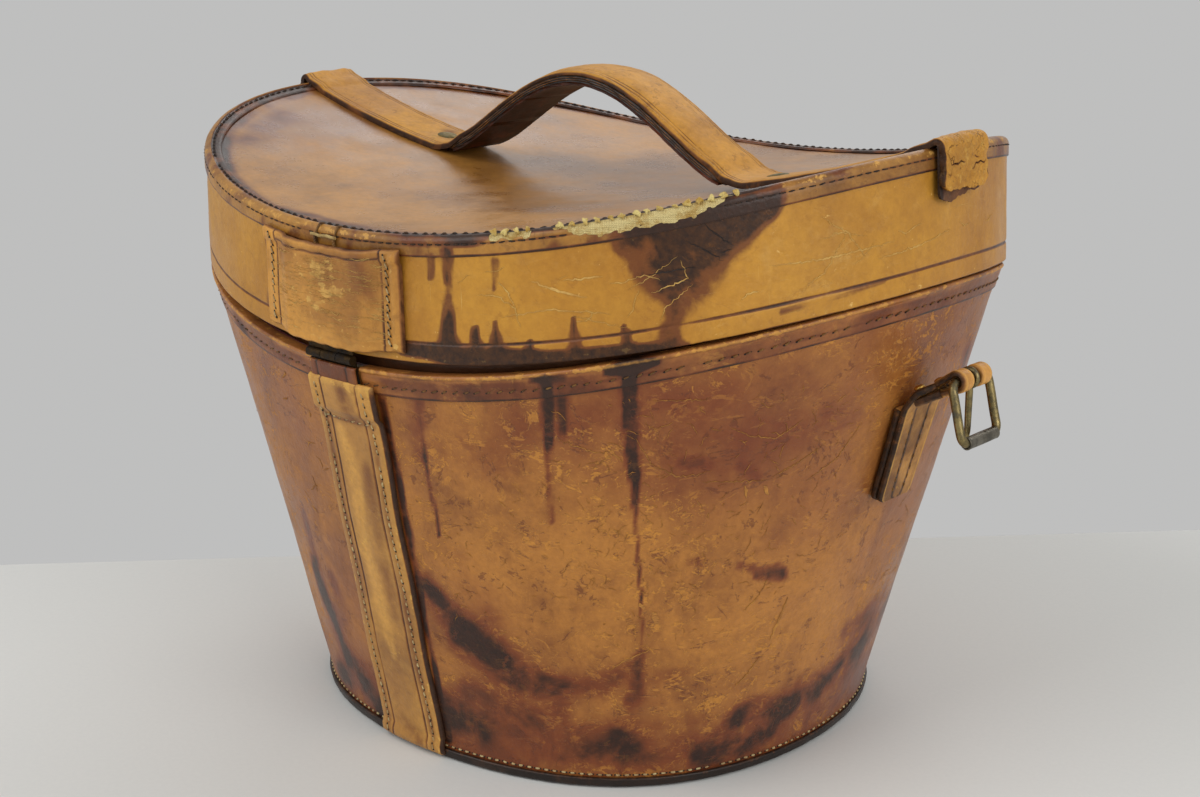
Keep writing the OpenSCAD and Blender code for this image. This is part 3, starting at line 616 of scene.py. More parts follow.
M = {
    "body": leather("body", "c08038", "985b2d", "67331c", raw="d8943c", red="78381c", dark="1e130e",
                    crackle=1.0, scratch=0.7, sheen=0.36, crisp=0.3),
    "rim": leather("rim", "b87638", "8c4f28", "502816", raw="d89c46", gloss=0.38, scratch=1.1,
                   sheen=0.4, crisp=0.4),
    "band": leather("band", "cb9234", "bb802c", "8a5420", raw="e8be70", red="63301c", gloss=0.4,
                    crackle=0.3, scratch=1.2, mottle=0.6, sheen=0.28, crisp=0.8),
    "top": leather("top", "c48a3e", "8a5a2c", "583820", raw="b07a3e", gloss=0.3, crackle=0.0,
                   scratch=0.0, grain=0.3, mottle=0.55, sheen=0.4),
    "edge": leather("edge", "c08838", "94602a", "56301a", raw="dba552", crackle=0.4, scratch=1.0,
                    canvas=True, crisp=0.6),
    "strip": leather("strip", "dca24c", "a06c34", "724824", raw="e2b058", gloss=0.38, crackle=0.3,
                     scratch=0.9, mottle=0.7, crisp=0.3),
    "patch": leather("patch", "dc9e48", "b27834", "744524", raw="deb060", red="8a5830", dark="3a2014",
                     gloss=0.46, crackle=0.3, scratch=1.6, mottle=0.7, sheen=0.25, crisp=0.2),
    "strap": leather("strap", "d69a3e", "b47a30", "744620", raw="dcae58", red="5c3018", dark="22140d",
                     gloss=0.55, scratch=0.6, mottle=0.7, sheen=0.16, pebbly=1.0, crisp=0.3),
    "core": leather("core", "2a190f", "1c110b", "0e0906", raw="b0702c", red="160d08", dark="0c0705",
                    crackle=0.2, scratch=0.9, sheen=0.3),
    "under": leather("under", "cc6c3c", "b4582c", "803c1c", raw="c87238", red="3a1c10", dark="160e0a",
                     gloss=0.55, crackle=0.3, scratch=0.3, sheen=0.2),
    "stub_under": leather("stub_under", "84522c", "643c24", "382114", raw="a87a48", red="3a2015",
                          gloss=0.6, crackle=0.2, scratch=0.4, pebbly=0.6),
    "chape": leather("chape", "e2a654", "cc8c42", "925a2a", raw="e0aa58", red="4a2614", dark="170f0b",
                     gloss=0.46, scratch=0.9, mottle=0.8, sheen=0.25, crisp=0.3),
    "base": leather("base", "2c1b12", "1f140e", "100a07", raw="6e4426", red="1c110c", gloss=0.42,
                    crackle=0.3),
    "collar": leather("collar", "6b3f20", "53301a", "35200f", raw="8f6034", crackle=0.2, scratch=0.2),
    "lining": cloth("lining", "741824", "98303a", 1400.0),
    "board": cloth("board", "c2ae85", "a08c66", 1100.0),
    "brass": metal("brass_aged", "968559", "6d6146", "4c493c", 0.45),
    # dark tarnished brass for the hinge, darkened further as painted shade of the gap between lid and body
    "brass_tarnish_and_shade": metal("brass_tarnish_and_shade", "4a3a26", "30251a", "1e1712", 0.7, 0.55),
    "brass_bright": metal("brass_rubbed", "d2aa5c", "a07c3a", "5c5030", 0.2, 0.25),
    "roller": metal("roller_worn", "7d776b", "5c574c", "47433a", 0.45, 0.38),
    "verdigris": metal("rivet_green", "857449", "665a3c", "5c6650", 0.5, 0.55),
    "thread_dark": thread("thread_dark", "4a2f18", "281810"),
    "thread_mid": thread("thread_mid", "94692f", "573818"),
    "thread_pale": thread("thread_pale", "d8c48e", "a9875a"),
    "thread_tie": thread("thread_tie", "c4a868", "8c6c3c"),
    "thread_cream": thread("thread_cream", "f0d888", "c4983c"),
    # painted shade of the awl holes at the stitch ends
    "hole_shade": thread("awl_hole_shade", "1c110b", "120b07"),
    "fray": thread("raw_hide_fray", "c88a38", "a0662a"),
    "fray_pale": thread("raw_hide_pale", "ecc06a", "d6a04c"),
    "crack": thread("dark_crack", "2a1a13", "1a110d"),
}


# Painting: what is dark, golden or rubbed, in degrees round the wall and height

DEG = 2.6  # millimetres per degree round the wall, about
THIN = 3.3  # strokes up to this radius are drips, which run straight


def on_sheet(phi, z, squash=1.0):
    """Places on the wall rolled out flat, in millimetres, for ripple."""
    return flat(np.degrees(phi) * DEG, z * squash)


def wall_paint(phi, z, golds, stains_and_shade, seed):
    """Golden and dark masks of a wall at angles phi and heights z; a few golden marks are painted light and
    a few dark ones painted shade.
    """
    q = on_sheet(phi, z)
    p = q[..., :2]
    near, dark = [[(np.multiply(line, [DEG, 1]), r, s) for line, r, s in marks] for marks in (golds, stains_and_shade)]
    wob = np.stack([ripple(q, 38, seed), ripple(q, 33, seed + 1)], -1) * 3.0
    wob += np.stack([ripple(q, 11, seed + 2), ripple(q, 9, seed + 3)], -1) * 0.9
    drips = [mark for mark in dark if np.max(mark[1]) <= THIN]
    blots = [mark for mark in dark if np.max(mark[1]) > THIN]
    thin, broad = segment_mask(p + wob * 0.12, drips), segment_mask(p + wob * 0.55, blots)
    return segment_mask(p + wob, near), thin + broad - thin * broad


BODY_GOLD_AND_LIGHT = [
    # The first, broad stroke is partly a painted pool of light on the front of the wall, partly golden tone.
    ([(-66, 102), (-54, 88), (-40, 86), (-26, 78)], 26, 0.75),
    ([(-36, 60), (-22, 52), (-8, 62)], 20, 0.85),
    ([(-56, 68), (-46, 70)], 10, 0.75),
    ([(-71, 108), (-62, 96)], 16, 0.5),
    ([(-10, 60), (-4, 100)], 14, 0.5),
    ([(-98, 135), (-101, 95)], 15, 0.5),
    ([(-56, 160), (-72, 148)], 6, 0.5),
]
BODY_STAIN_AND_SHADE = [
    ([(-81, 78), (-78, 66), (-72, 53), (-65, 45), (-58, 41)], [4, 7, 10, 9, 6], 0.9),
    ([(-76, 60), (-70, 50)], [6, 6], 0.6),
    ([(-60, 42), (-50, 46), (-46, 52)], [5, 6, 5], 0.55),
    ([(-48.4, 172), (-47.8, 150), (-47.0, 134), (-46.1, 114)], [2.4, 2.2, 1.6, 0.9], 1.9),
    ([(-47.8, 152), (-47.2, 136)], [3.2, 2.4], 0.5),
    ([(-46.1, 114), (-45.3, 99), (-44.1, 75), (-43.5, 58)], [1.0, 0.9, 0.8, 1.3], 0.75),
    ([(-59.1, 166), (-59.2, 152), (-59.3, 140)], [1.8, 1.9, 1.0], 1.5),
    ([(-57.2, 165), (-57.3, 146)], [2.6, 1.6], 0.6),
    ([(-59.3, 140), (-59.0, 112)], [1.0, 0.7], 0.65),
    ([(-77.9, 150), (-78.2, 128), (-77.6, 98)], [1.4, 1.1, 0.7], 0.75),
    ([(-51, 170.5), (-48.5, 171.8), (-45, 174)], [1.6, 2.6, 1.4], 1.6),
    ([(-61, 165.5), (-57, 167)], [1.2, 1.6], 1.0),
    # Painted shadow on the wall along the seam strip's right edge
    ([(-84.2, 150), (-83.4, 100), (-82.6, 50), (-81.8, 8)], [1.3, 1.5, 1.3, 1.5], 1.6),
    ([(-78.5, 150), (-79, 130)], [4, 3], 0.3),
    ([(-43.6, 58), (-44.2, 40)], [3.4, 4], 0.75),
    ([(-84, 26), (-74, 18)], [5, 4], 0.6),
    ([(-76, 34), (-66, 28), (-57, 30)], [4, 5, 3], 0.36),
    ([(-62, 12), (-44, 12), (-28, 14)], [3, 4, 3], 0.36),
    ([(-46, 25), (-44, 18)], [4, 4], 0.6),
    ([(-80, 20), (-70, 24), (-58, 20), (-46, 14)], [6, 8, 7, 5], 0.32),
    ([(-22, 24), (-12, 24), (0, 28), (14, 34)], [6, 7, 8, 9], 0.85),
    ([(-30, 12), (-14, 12)], [4, 5], 0.7),
    ([(2, 48), (16, 52)], [5, 9], 0.5),
    ([(-112, 84), (-113, 66), (-113, 50)], [3, 6, 5], 0.7),
    ([(-114, 60), (-112, 44), (-107, 22), (-102, 8)], [4, 7, 7, 6], 0.85),
    ([(-107, 62), (-105, 46)], [4, 6], 0.5),
    ([(-112, 16), (-118, 8)], [6, 6], 0.8),
    ([(-37, 97), (-34.5, 96)], [2.5, 2], 0.4),
    ([(-36, 98), (-35.4, 97.5)], [1.2, 1], 0.5),
    ([(-28, 93), (-23, 89)], [2.4, 3.4], 0.4),
    ([(-24.5, 88), (-20, 86.5)], [2.0, 3.2], 0.6),
    ([(-21, 91), (-18.6, 84)], [2.6, 1.6], 0.35),
    ([(-40, 137), (-36, 136)], [2.0, 2.4], 0.4),
    ([(-31, 134), (-28, 129)], [1.8, 2.0], 0.4),
    ([(-40, 46), (-34, 50)], [5, 3], 0.35),
    ([(-62, 150), (-46, 152), (-30, 156), (-16, 150)], [12, 15, 16, 12], 0.2),
    ([(-58, 118), (-46, 122), (-30, 126)], [10, 14, 12], 0.16),
    ([(-70, 70), (-74, 90)], [6, 6], 0.24),
    ([(-75, 140), (-66, 130)], [8, 8], 0.2),
]


def random_marks(seed, count, phi_range, z_range, sizes, strength):
    """Strokes for the sides that the photo doesn't show."""
    rng = np.random.default_rng(seed)
    out = []
    for _ in range(count):
        a, z = rng.uniform(*phi_range), rng.uniform(*z_range)
        r = rng.uniform(*sizes)
        line = [(a, z), (a + rng.uniform(-6, 6), z + rng.uniform(-18, 18))]
        out.append((line, [r, r * rng.uniform(0.5, 1)], rng.uniform(*strength)))
    return out


BODY_GOLD_AND_LIGHT += random_marks(11, 6, (10, 225), (60, 130), (18, 34), (0.4, 0.75))
BODY_STAIN_AND_SHADE += random_marks(12, 9, (0, 235), (8, 45), (8, 16), (0.5, 0.85))
BODY_STAIN_AND_SHADE += random_marks(13, 4, (20, 220), (90, 150), (3, 8), (0.5, 0.8))


def wrapped(phi):
    """Angles from -125 to 235 degrees, so that the marks of the seen side are in one piece."""
    return np.radians((np.degrees(phi) + 125) % 360 - 125)


# Threads and scratches

def stitch_rows(name, line, normals, part, thread, pitch, length, radius, gap=(0, 0), slant=0.0,
                sunk=0.35):
    """Stitches as small stretched beads along a line of surface points with their normals, with a dark bead
    at both ends of each, painted shade in the awl holes; none lie in a gap between two lengths along the
    line."""
    line, normals = np.asarray(line, float), np.asarray(normals, float)
    along = cumulative(line)
    count = int(along[-1] / pitch)
    rng = np.random.default_rng(len(line) + count)
    threads, ends = ([], [], []), ([], [], [])
    u = np.linspace(-1, 1, 5)
    wide = np.sqrt(np.maximum(1 - (np.abs(u) * 0.95) ** 2.4, 0.03))

    def at(s, values):
        return np.array([np.interp(s, along, values[:, k]) for k in range(3)])

    for s in (np.arange(count) + 0.5) * along[-1] / count:
        s += rng.normal(0, 0.12)
        if gap[0] < s < gap[1] or rng.random() < 0.02:
            continue
        c, n = at(s, line), unit(at(s, normals))
        t = at(s + 0.6, line) - at(s - 0.6, line)
        t = unit(t - n * (t @ n))
        t = unit(t + np.cross(n, t) * (slant + rng.normal(0, 0.07)))
        b = np.cross(n, t)
        half = length / 2 * rng.uniform(0.85, 1.12)
        r = radius * rng.uniform(0.85, 1.12)
        bead(threads, c, t, n, b, half * u, r * (sunk - 0.6 * u * u), r * wide, 6)
        for end in (-1, 1):
            r = radius * 1.05
            bead(ends, c + t * end * half, t, n, b, radius * 1.5 * u, r * (-0.35 - 0.6 * u * u), r * wide, 6)
    build(name, *threads, part, M[thread], sharp=180)
    build(name + "_hole_shade", *ends, part, M["hole_shade"], sharp=180)


def on_wall(place, phis, z, off):
    """Points of a line on a wall, and the wall's normals there."""
    p = place(phis, z + 0 * phis, off)
    return p, place(phis, z + 0 * phis, off + 1.0) - p


def frays(name, place, lines, part, material, off=0.12, seed=1):
    """Lifted slivers of raw hide along scratches: lines of (degrees, height), and a width."""
    rng = np.random.default_rng(seed)
    verts, faces, uvs = [], [], []
    for line, width in lines:
        line = np.multiply(line, [DEG, 1])
        along = cumulative(line)
        steps = max(4, int(along[-1] / 0.9))
        s = np.linspace(0, along[-1], steps)
        q = np.stack([np.interp(s, along, line[:, k]) for k in (0, 1)], -1)
        q[1:-1] += rng.normal(0, 0.22, (steps - 2, 2))
        t = unit(np.gradient(q, axis=0))
        n = np.stack([-t[:, 1], t[:, 0]], -1)
        taper = np.sqrt(np.clip(np.sin(np.linspace(0.03, PI - 0.03, steps)), 0, 1))
        w = width * taper * rng.uniform(0.5, 1.15, steps)
        base = len(verts)
        for i in range(steps):
            for k, lift in ((-0.5, 0.03), (0.0, 0.07), (0.5, 0.03)):
                c = q[i] + n[i] * w[i] * k
                verts.append(place(np.radians(c[0] / DEG), c[1], off - 0.06 + lift))
        for i in range(steps - 1):
            for k in (0, 1):
                a = base + i * 3 + k
                faces.append([a, a + 3, a + 4, a + 1])
                uvs += [[s[i], k], [s[i + 1], k], [s[i + 1], k + 1], [s[i], k + 1]]
    build(name, verts, faces, uvs, part, material, sharp=180)


def kept(lines, low, high, avoid):
    """The scratches that stay between two heights and clear of some boxes (degrees, heights)."""
    out = []
    for line, width in lines:
        a, z = np.array(line, float).T
        inside = ((z > low(np.radians(a))) & (z < high(np.radians(a)))).all()
        over = [((a > a0) & (a < a1) & (z > z0) & (z < z1)).any() for a0, a1, z0, z1 in avoid]
        if inside and not any(over):
            out.append((line, width))
    return out


def random_frays(seed, count, phi_range, z_range, length, width, lean):
    """Short crooked scratches, most of them level or leaning a little."""
    rng = np.random.default_rng(seed)
    out = []
    for _ in range(count):
        a, z = rng.uniform(*phi_range), rng.uniform(*z_range)
        reach = rng.uniform(*length)
        way = rng.normal(0, lean) + (PI / 2 if rng.random() < 0.2 else 0)
        points = [(a, z)]
        for _ in range(3):
            way += rng.normal(0, 0.45)
            a += reach / 3 * math.cos(way) / DEG
            z += reach / 3 * math.sin(way)
            points.append((a, z))
        out.append((points, rng.uniform(*width)))
    return out


# The body's leather

def dents(phi, z):
    p = body_at(phi, z)
    return 0.32 * ripple(p, 70, 3) + 0.1 * ripple(p, 24, 4)


PHIS = turn(AROUND)
LOOP_PHIS = np.append(PHIS, 2 * PI)


def body_leather():
    chain = edge_chain(np.linspace(0, 1, 100), 0.7)
    bound = smooth(np.minimum(chain[:, 0], 1 - chain[:, 0]) * 12)
    rings = wall_band(body_at, PHIS, FOOT, rim_z(PHIS) - BIND, -COVER, -0.05, chain,
                      lambda phi, z: (dents(phi, z) - 0.25) * bound)
    z = rings[..., 2]
    angle = wrapped(PHIS[:, None] + 0 * z)
    gold, stain = wall_paint(angle, z, BODY_GOLD_AND_LIGHT, BODY_STAIN_AND_SHADE, 5)
    soft = 0.5 + 0.5 * ripple(on_sheet(angle, z), 60, 17)
    low_red, high_red = 0.42 * smooth((44 - z) / 26), 0.2 * smooth((z - 112) / 34)
    tinge = np.maximum(low_red * (0.6 + 0.8 * soft), high_red * soft * 1.3)
    stain = stain + tinge - stain * tinge
    sweep("body_leather", rings, True, ("body", "body_cover"), M["body"], "body_cover",
          painted(rings, gold, stain, 0.25 * smooth((10 - z) / 8)))


BODY_FRAYS = [
    ([(-17.4, 76), (-17.9, 68), (-19.2, 58)], 1.7), ([(-20.6, 52), (-22.6, 45), (-24.6, 41)], 1.0),
    ([(-46.6, 74), (-45.4, 72)], 3.2), ([(-42.3, 77), (-41.2, 72)], 3.0), ([(-44.6, 81), (-43.8, 78)], 2.2),
    ([(-47, 146), (-44.4, 136), (-40.2, 131), (-35.4, 133)], 0.5),
    ([(-33.6, 149), (-30, 145), (-26, 143), (-22, 149)], 0.5),
    ([(-25.6, 128), (-20.6, 133), (-17, 138)], 0.5), ([(-19, 124), (-14, 131), (-10.5, 143)], 0.5),
    ([(-53, 134), (-50, 140), (-48.6, 137)], 0.5), ([(-58, 144), (-52, 140), (-50, 141)], 0.4),
    ([(-36.8, 129), (-31, 128), (-26, 127)], 0.4), ([(-29.8, 126), (-29.2, 121)], 1.8),
    ([(-26.6, 125), (-25.4, 121)], 1.4), ([(-45, 160), (-40, 160), (-37, 160.5)], 0.4),
    ([(-77, 100), (-76, 99)], 2.2), ([(-60.6, 98), (-59.6, 97)], 1.6),
    ([(-49, 52), (-46, 57), (-42, 61)], 0.6), ([(-26, 74), (-23.6, 79), (-22.4, 86)], 0.7),
]
BODY_FRAYS += random_frays(61, 210, (-60, -6), (80, 160), (0.8, 7), (0.12, 0.38), 0.6)
BODY_FRAYS += random_frays(62, 110, (-80, -30), (60, 128), (0.8, 5), (0.12, 0.4), 0.8)
BODY_FRAYS += random_frays(63, 14, (-108, -96), (90, 150), (2, 8), (0.3, 1.0), 1.2)
BODY_FRAYS += random_frays(64, 170, (0, 234), (50, 165), (1.5, 11), (0.14, 0.45), 0.7)


def body_frays():
    lines = kept(BODY_FRAYS, lambda phi: 5, lambda phi: rim_z(phi) - 10.5,
                 [(-98, -82, 0, 160), (-7, 7, 103, 160), (173, 187, 103, 160)])
    frays("body_frays", lambda phi, z, off: body_at(phi, z, off + dents(phi, z) - 0.25), lines,
          ("body", "body_cover"), M["fray"])


body_leather()
body_frays()


# Rim binding: a stitched band with a rolled top edge, open at the hinge, flush with the wall

NOTCH = 14.0  # half the width of the opening
RIM_STITCH = 6.0  # from the rim's top down to the stitches


def rim_binding():
    part = ("body", "rim_binding")
    start, end = side_angle(HINGE_X + NOTCH, RIM_A), 2 * PI + side_angle(HINGE_X - NOTCH, RIM_A)
    phis = np.linspace(start, end, AROUND)
    top = rim_z(phis)[:, None]
    # Up the outside, over the rolled edge and inwards
    up = np.concatenate([[0.0, 0.12, 0.35], np.linspace(0.7, RIM_H - 2.2, 20)])
    swell, roll = np.linspace(0.15, 1, 6), np.linspace(0.15, PI / 2, 7)
    inward = np.array([-1.5, -3.2, -4.15])
    rise = np.concatenate([up - RIM_H, 1.1 * swell - 2.2, 1.1 * np.sin(roll) - 1.1, 0 * inward])
    off = np.concatenate([[0.14, 0.3, 0.4], np.linspace(0.42, 0.5, 20), 0.5 + 0.5 * smooth(swell),
                          1.1 * np.cos(roll) - 0.1, inward])
    z = top + rise
    off = off + 0 * z
    phi = phis[:, None] + 0 * z
    p = body_at(phi, z)
    relief = groove(z - top, -RIM_STITCH, 0.16, 0.8) + 0.1 * ripple(p, 14, 21) * smooth((top - z - 0.5) / 2)
    off = off + (relief + 0.05 * ripple(p, 4, 22)) * (off > 0.2)
    back = body_at(phi, np.minimum(z, top - 0.8), np.where(off > 0.1, 0.1, off))
    rings = shell(body_at(phi, z, off), back)
    depth = top - rings[..., 2]
    angle = wrapped(phis[:, None] + 0 * depth)
    stain = strongest(wall_paint(angle, rings[..., 2], [], BODY_STAIN_AND_SHADE, 5)[1],
                      0.85 * smooth((depth - RIM_H + 1.3) / 0.9),
                      0.4 * ridge(depth, RIM_STITCH, 1.6),
                      (0.3 + 0.3 * ripple(rings, 22, 24)) * smooth((depth - 1.5) / 2))
    gold = (0.5 + 0.5 * ripple(rings, 26, 25)) * smooth((4.5 - depth) / 3)
    wear = (0.62 + 0.2 * ripple(rings, 18, 26)) * ridge(depth, 0.9, 1.7)
    sweep("rim_binding_leather", rings, False, part, M["rim"], "rim_binding",
          painted(rings, gold, stain, wear))
    line = on_wall(body_at, phis, rim_z(phis) - RIM_STITCH, 0.36)
    stitch_rows("rim_stitches", *line, part, "thread_mid", 4.5, 2.3, 0.3, slant=0.3)


rim_binding()


# Base welt and its running stitches

def base_welt():
    part = ("body", "base_welt")
    rings = wall_band(body_at, PHIS, FOOT - 0.1, FOOT + 3.6, GLUE, 1.5, edge_chain(np.linspace(0, 1, 5),
            0.8),
                      lambda phi, z: 0.08 * ripple(body_at(phi, z), 9, 31))
    wear = 0.45 * smooth((rings[..., 2] - 2.6) / 1.2)
    sweep("base_welt_leather", rings, True, part, M["base"], "base_welt", painted(rings, 0, 0.2, wear))
    line = on_wall(body_at, LOOP_PHIS, FOOT + 4.7, -0.1)
    stitch_rows("welt_stitches", *line, part, "thread_pale", 3.4, 2.0, 0.42)


base_welt()


# Seam strip, which steps over the welt below and the hinge leaf above

STRIP_X, STRIP_HALF, STRIP_STITCH = -1.0, 17.0, 12.7
CROSS_Z = 138.4  # height of the row of stitches across the strip


def strip_step(z):
    """How far the strip stands off the wall at a height."""
    return np.interp(z, [1, 5.2, 7, 139.3, 141.4, 154], [1.45, 1.45, 0.16, 0.16, 1.86, 1.86])


def strip_sway(z):
    return 0.35 * np.sin(z * 0.11) + 0.25 * np.sin(z * 0.043 + 1)


def seam_strip():
    part = ("body", "seam_strip")
    xs = np.linspace(-STRIP_HALF, STRIP_HALF, 69)
    zs = np.concatenate([np.linspace(1.2, 5.4, 4), np.linspace(8, 138, 110), np.linspace(139.6, 153.8, 16)])
    edge = STRIP_HALF - np.abs(xs)
    end = np.minimum(zs - zs[0], zs[-1] - zs)[:, None]
    height = 2.05 + 0.15 * smooth(edge / 3) + groove(edge, 7.6, 0.3, 0.45) + groove(edge, 4.3, 0.14, 0.7)
    height = height - 1.3 * rounded(edge, 0.9) - 1.2 * rounded(end, 1.2)
    phi = side_angle(STRIP_X + xs[None, :] + strip_sway(zs)[:, None], wall_a(zs)[:, None])
    z = zs[:, None] + 0 * phi
    over = strip_step(z)
    rings = shell(body_at(phi, z, over + height + 0.1 * ripple(body_at(phi, z), 11, 41)),
                  body_at(phi, z, over))
    z, across, edge = rings[..., 2], mirrored(xs, rings), mirrored(edge, rings)
    sheet = flat(across, z)[..., :2]
    smudges = [([(2, 150), (4, 143)], [4, 6], 0.4), ([(5, 60), (6, 120)], [3, 4], 0.3),
               ([(-4, 12), (6, 5)], 4, 0.4)]
    stain = strongest(0.8 * ridge(edge, 7.6, 0.8) + 0.9 * smooth((0.5 - edge) / 0.5),
                      # painted shadow along the strip's right edge, over its dark cut edge
                      1.1 * smooth((across - 15.9) / 0.8),
                      0.34 * ridge(edge, 4.6, 3.4) * smooth((146 - z) / 8),
                      0.5 * ridge(z, CROSS_Z, 1.2) * (edge > 2),
                      segment_mask(sheet, smudges))
    pale = ([(-5, 134), (-2, 112), (-4, 84), (-2, 58), (0, 40)], [2.4, 3.6, 3.8, 3.6, 1.6], 1.0)
    streak = segment_mask(sheet, [pale])
    wear = 0.45 * ridge(edge, 1.2, 1.0) + 0.5 * smooth((z - 149.5) / 3) + 0.25 * streak
    sweep("seam_strip_leather", rings, False, part, M["strip"], "seam_strip",
          painted(rings, streak + 0.6 * smooth((z - 148) / 4), stain, wear))
    z = np.linspace(3, 152, 80)
    for tag, side in (("a", -1), ("b", 1)):
        phi = side_angle(STRIP_X + side * STRIP_STITCH + strip_sway(z), wall_a(z))
        line = on_wall(body_at, phi, z, strip_step(z) + 2.12)
        stitch_rows("strip_stitches_" + tag, *line, part, "thread_pale", 3.3, 2.1, 0.33, slant=0.35)
    phi = side_angle(STRIP_X + np.linspace(-12.5, 12.5, 30), wall_a(CROSS_Z))
    line = on_wall(body_at, phi, CROSS_Z, 2.35)
    stitch_rows("strip_stitches_cross", *line, part, "thread_pale", 3.6, 2.4, 0.32, slant=0.3)


seam_strip()


# Flap over the lower hinge leaf, between the ends of the rim binding

FLAP_HALF, FLAP_FOLD = 13.2, 8.5


def hinge_flap():
    x = np.abs(np.linspace(-FLAP_HALF, FLAP_HALF, 55))
    bend = np.linspace(0.2, PI / 2, 6)
    z = np.concatenate([np.linspace(151.0, 158.6, 16), 158.6 + 1.2 * np.sin(bend)])[:, None]
    back = np.concatenate([np.zeros(16), 1.2 * (1 - np.cos(bend))])[:, None]
    phi = side_angle(HINGE_X + np.linspace(-FLAP_HALF, FLAP_HALF, 55) + 0 * z, RIM_A)
    z = z + 0 * phi
    off = 2.95 - back - 0.5 * rounded(FLAP_HALF - x, 0.9) + groove(x, FLAP_FOLD, 0.25, 0.5)
    off = off + 0.08 * ripple(body_at(phi, z), 7, 44)
    rings = shell(body_at(phi, z, off), body_at(phi, np.minimum(z, 158.9), 2.05 + 0 * off))
    stain = 0.45 + 0.4 * mirrored(dip(x, FLAP_FOLD, 0.7), rings)
    wear = 0.3 * smooth((rings[..., 2] - 157.4) / 1.5)
    sweep("hinge_flap_leather", rings, False, ("body", "rim_binding"), M["rim"], (),
          painted(rings, 0.1, stain, wear))


hinge_flap()


# The lid's band

BAND_STAIN = [
    ([(-73, 206), (-73.1, 192), (-73.2, 180)], [2.6, 1.7, 2.2], 0.5),
    ([(-73, 206), (-73.2, 196)], [1.5, 0.8], 0.9),
    ([(-75.2, 204), (-75.4, 196)], [1.4, 0.9], 0.6),
    ([(-73.2, 191), (-73.1, 180), (-73.0, 172)], [0.9, 1.9, 4.2], 1.1),
    ([(-69.6, 182), (-69.4, 172)], [0.8, 3.0], 0.8),
    ([(-66.6, 204), (-66.8, 195)], [1.8, 1.0], 0.5),
    ([(-66.8, 184), (-66.6, 172)], [0.8, 3.2], 0.8),
    ([(-62.6, 179), (-62.4, 173)], [0.8, 2.4], 0.7),
    ([(-48, 213), (-45, 204), (-44.2, 195)], [7, 8, 5], 0.82),
    ([(-40, 218), (-41.5, 208), (-43.5, 198)], [12, 9, 5], 0.75),
    ([(-36, 219), (-39, 211)], [5, 5], 0.95),
    ([(-50, 211), (-48.5, 204)], [3, 2], 0.45),
    ([(-44.5, 196), (-44.6, 186), (-45.1, 178)], [2.6, 2.2, 4.0], 0.75),
    ([(-45.6, 184), (-45.0, 177)], [2.6, 3.6], 1.0),
    ([(-80, 170.2), (-70, 171.4), (-60, 173.4), (-50, 177.2), (-43, 179)], [2.2, 3.0, 2.6, 2.6, 2.4], 1.2),
    ([(-57, 188), (-56.6, 176)], [0.7, 2.6], 0.7),
    ([(-50.5, 186), (-50, 178)], [0.8, 2.4], 0.7),
    ([(-33, 224), (-36, 217), (-41, 203)], [3.5, 5, 4], 0.8),
    ([(-30, 228), (-34, 222)], [2.5, 4], 0.9),
    ([(-49, 217), (-40, 221), (-31, 226)], [4, 4.5, 3.5], 1.0),
    ([(-30, 190), (-14, 196)], [1.2, 1.0], 0.3),
    ([(-104, 206), (-103.5, 190), (-104, 176)], [2.2, 1.4, 2.5], 0.4),
]
BAND_STAIN += random_marks(23, 6, (5, 225), (175, 215), (4, 9), (0.5, 0.9))
BAND_GOLD = [([(-78, 195), (-52, 188)], 14, 0.4), ([(-30, 205), (-5, 215)], 24, 0.6)]
BAND_GOLD += random_marks(24, 7, (5, 225), (180, 220), (10, 22), (0.4, 0.8))
BAND_LINE = 7.2  # from the band's low edge up to its tooled line


def band_relief(phi, z):
    p = lid_at(phi, z)
    line = groove(z - lid_low(phi), BAND_LINE, 0.38, 0.55)
    return line + 0.22 * ripple(p, 55, 51) + 0.06 * ripple(p, 16, 52) - 0.2


def lid_band():
    spans = [(0, 0.12, 6), (0.12, 0.22, 14), (0.22, 0.8, 34), (0.8, 0.92, 16), (0.92, 1, 4)]
    rows = np.unique(np.concatenate([np.linspace(*span) for span in spans]))
    rings = wall_band(lid_at, PHIS, lid_low(PHIS), lid_top(PHIS) - 2.95, -COVER, 0.0, edge_chain(rows, 0.8),
                      band_relief)
    z = rings[..., 2]
    h = z - lid_low(PHIS)[:, None]
    gold, stain = wall_paint(wrapped(PHIS[:, None] + 0 * h), z, BAND_GOLD, BAND_STAIN, 6)
    under_edge = lid_top(PHIS)[:, None] - z - EDGE_H
    stain = strongest(stain, 0.8 * ridge(h, BAND_LINE, 0.95), 0.5 * smooth(1.0 - h),
                      0.8 * smooth((0.35 - under_edge) / 0.5))
    sweep("lid_band_leather", rings, True, ("lid", "lid_band"), M["band"], "lid_band",
          painted(rings, 0.25 + gold, stain, 0.3 * ridge(h, 1.6, 1.3)))


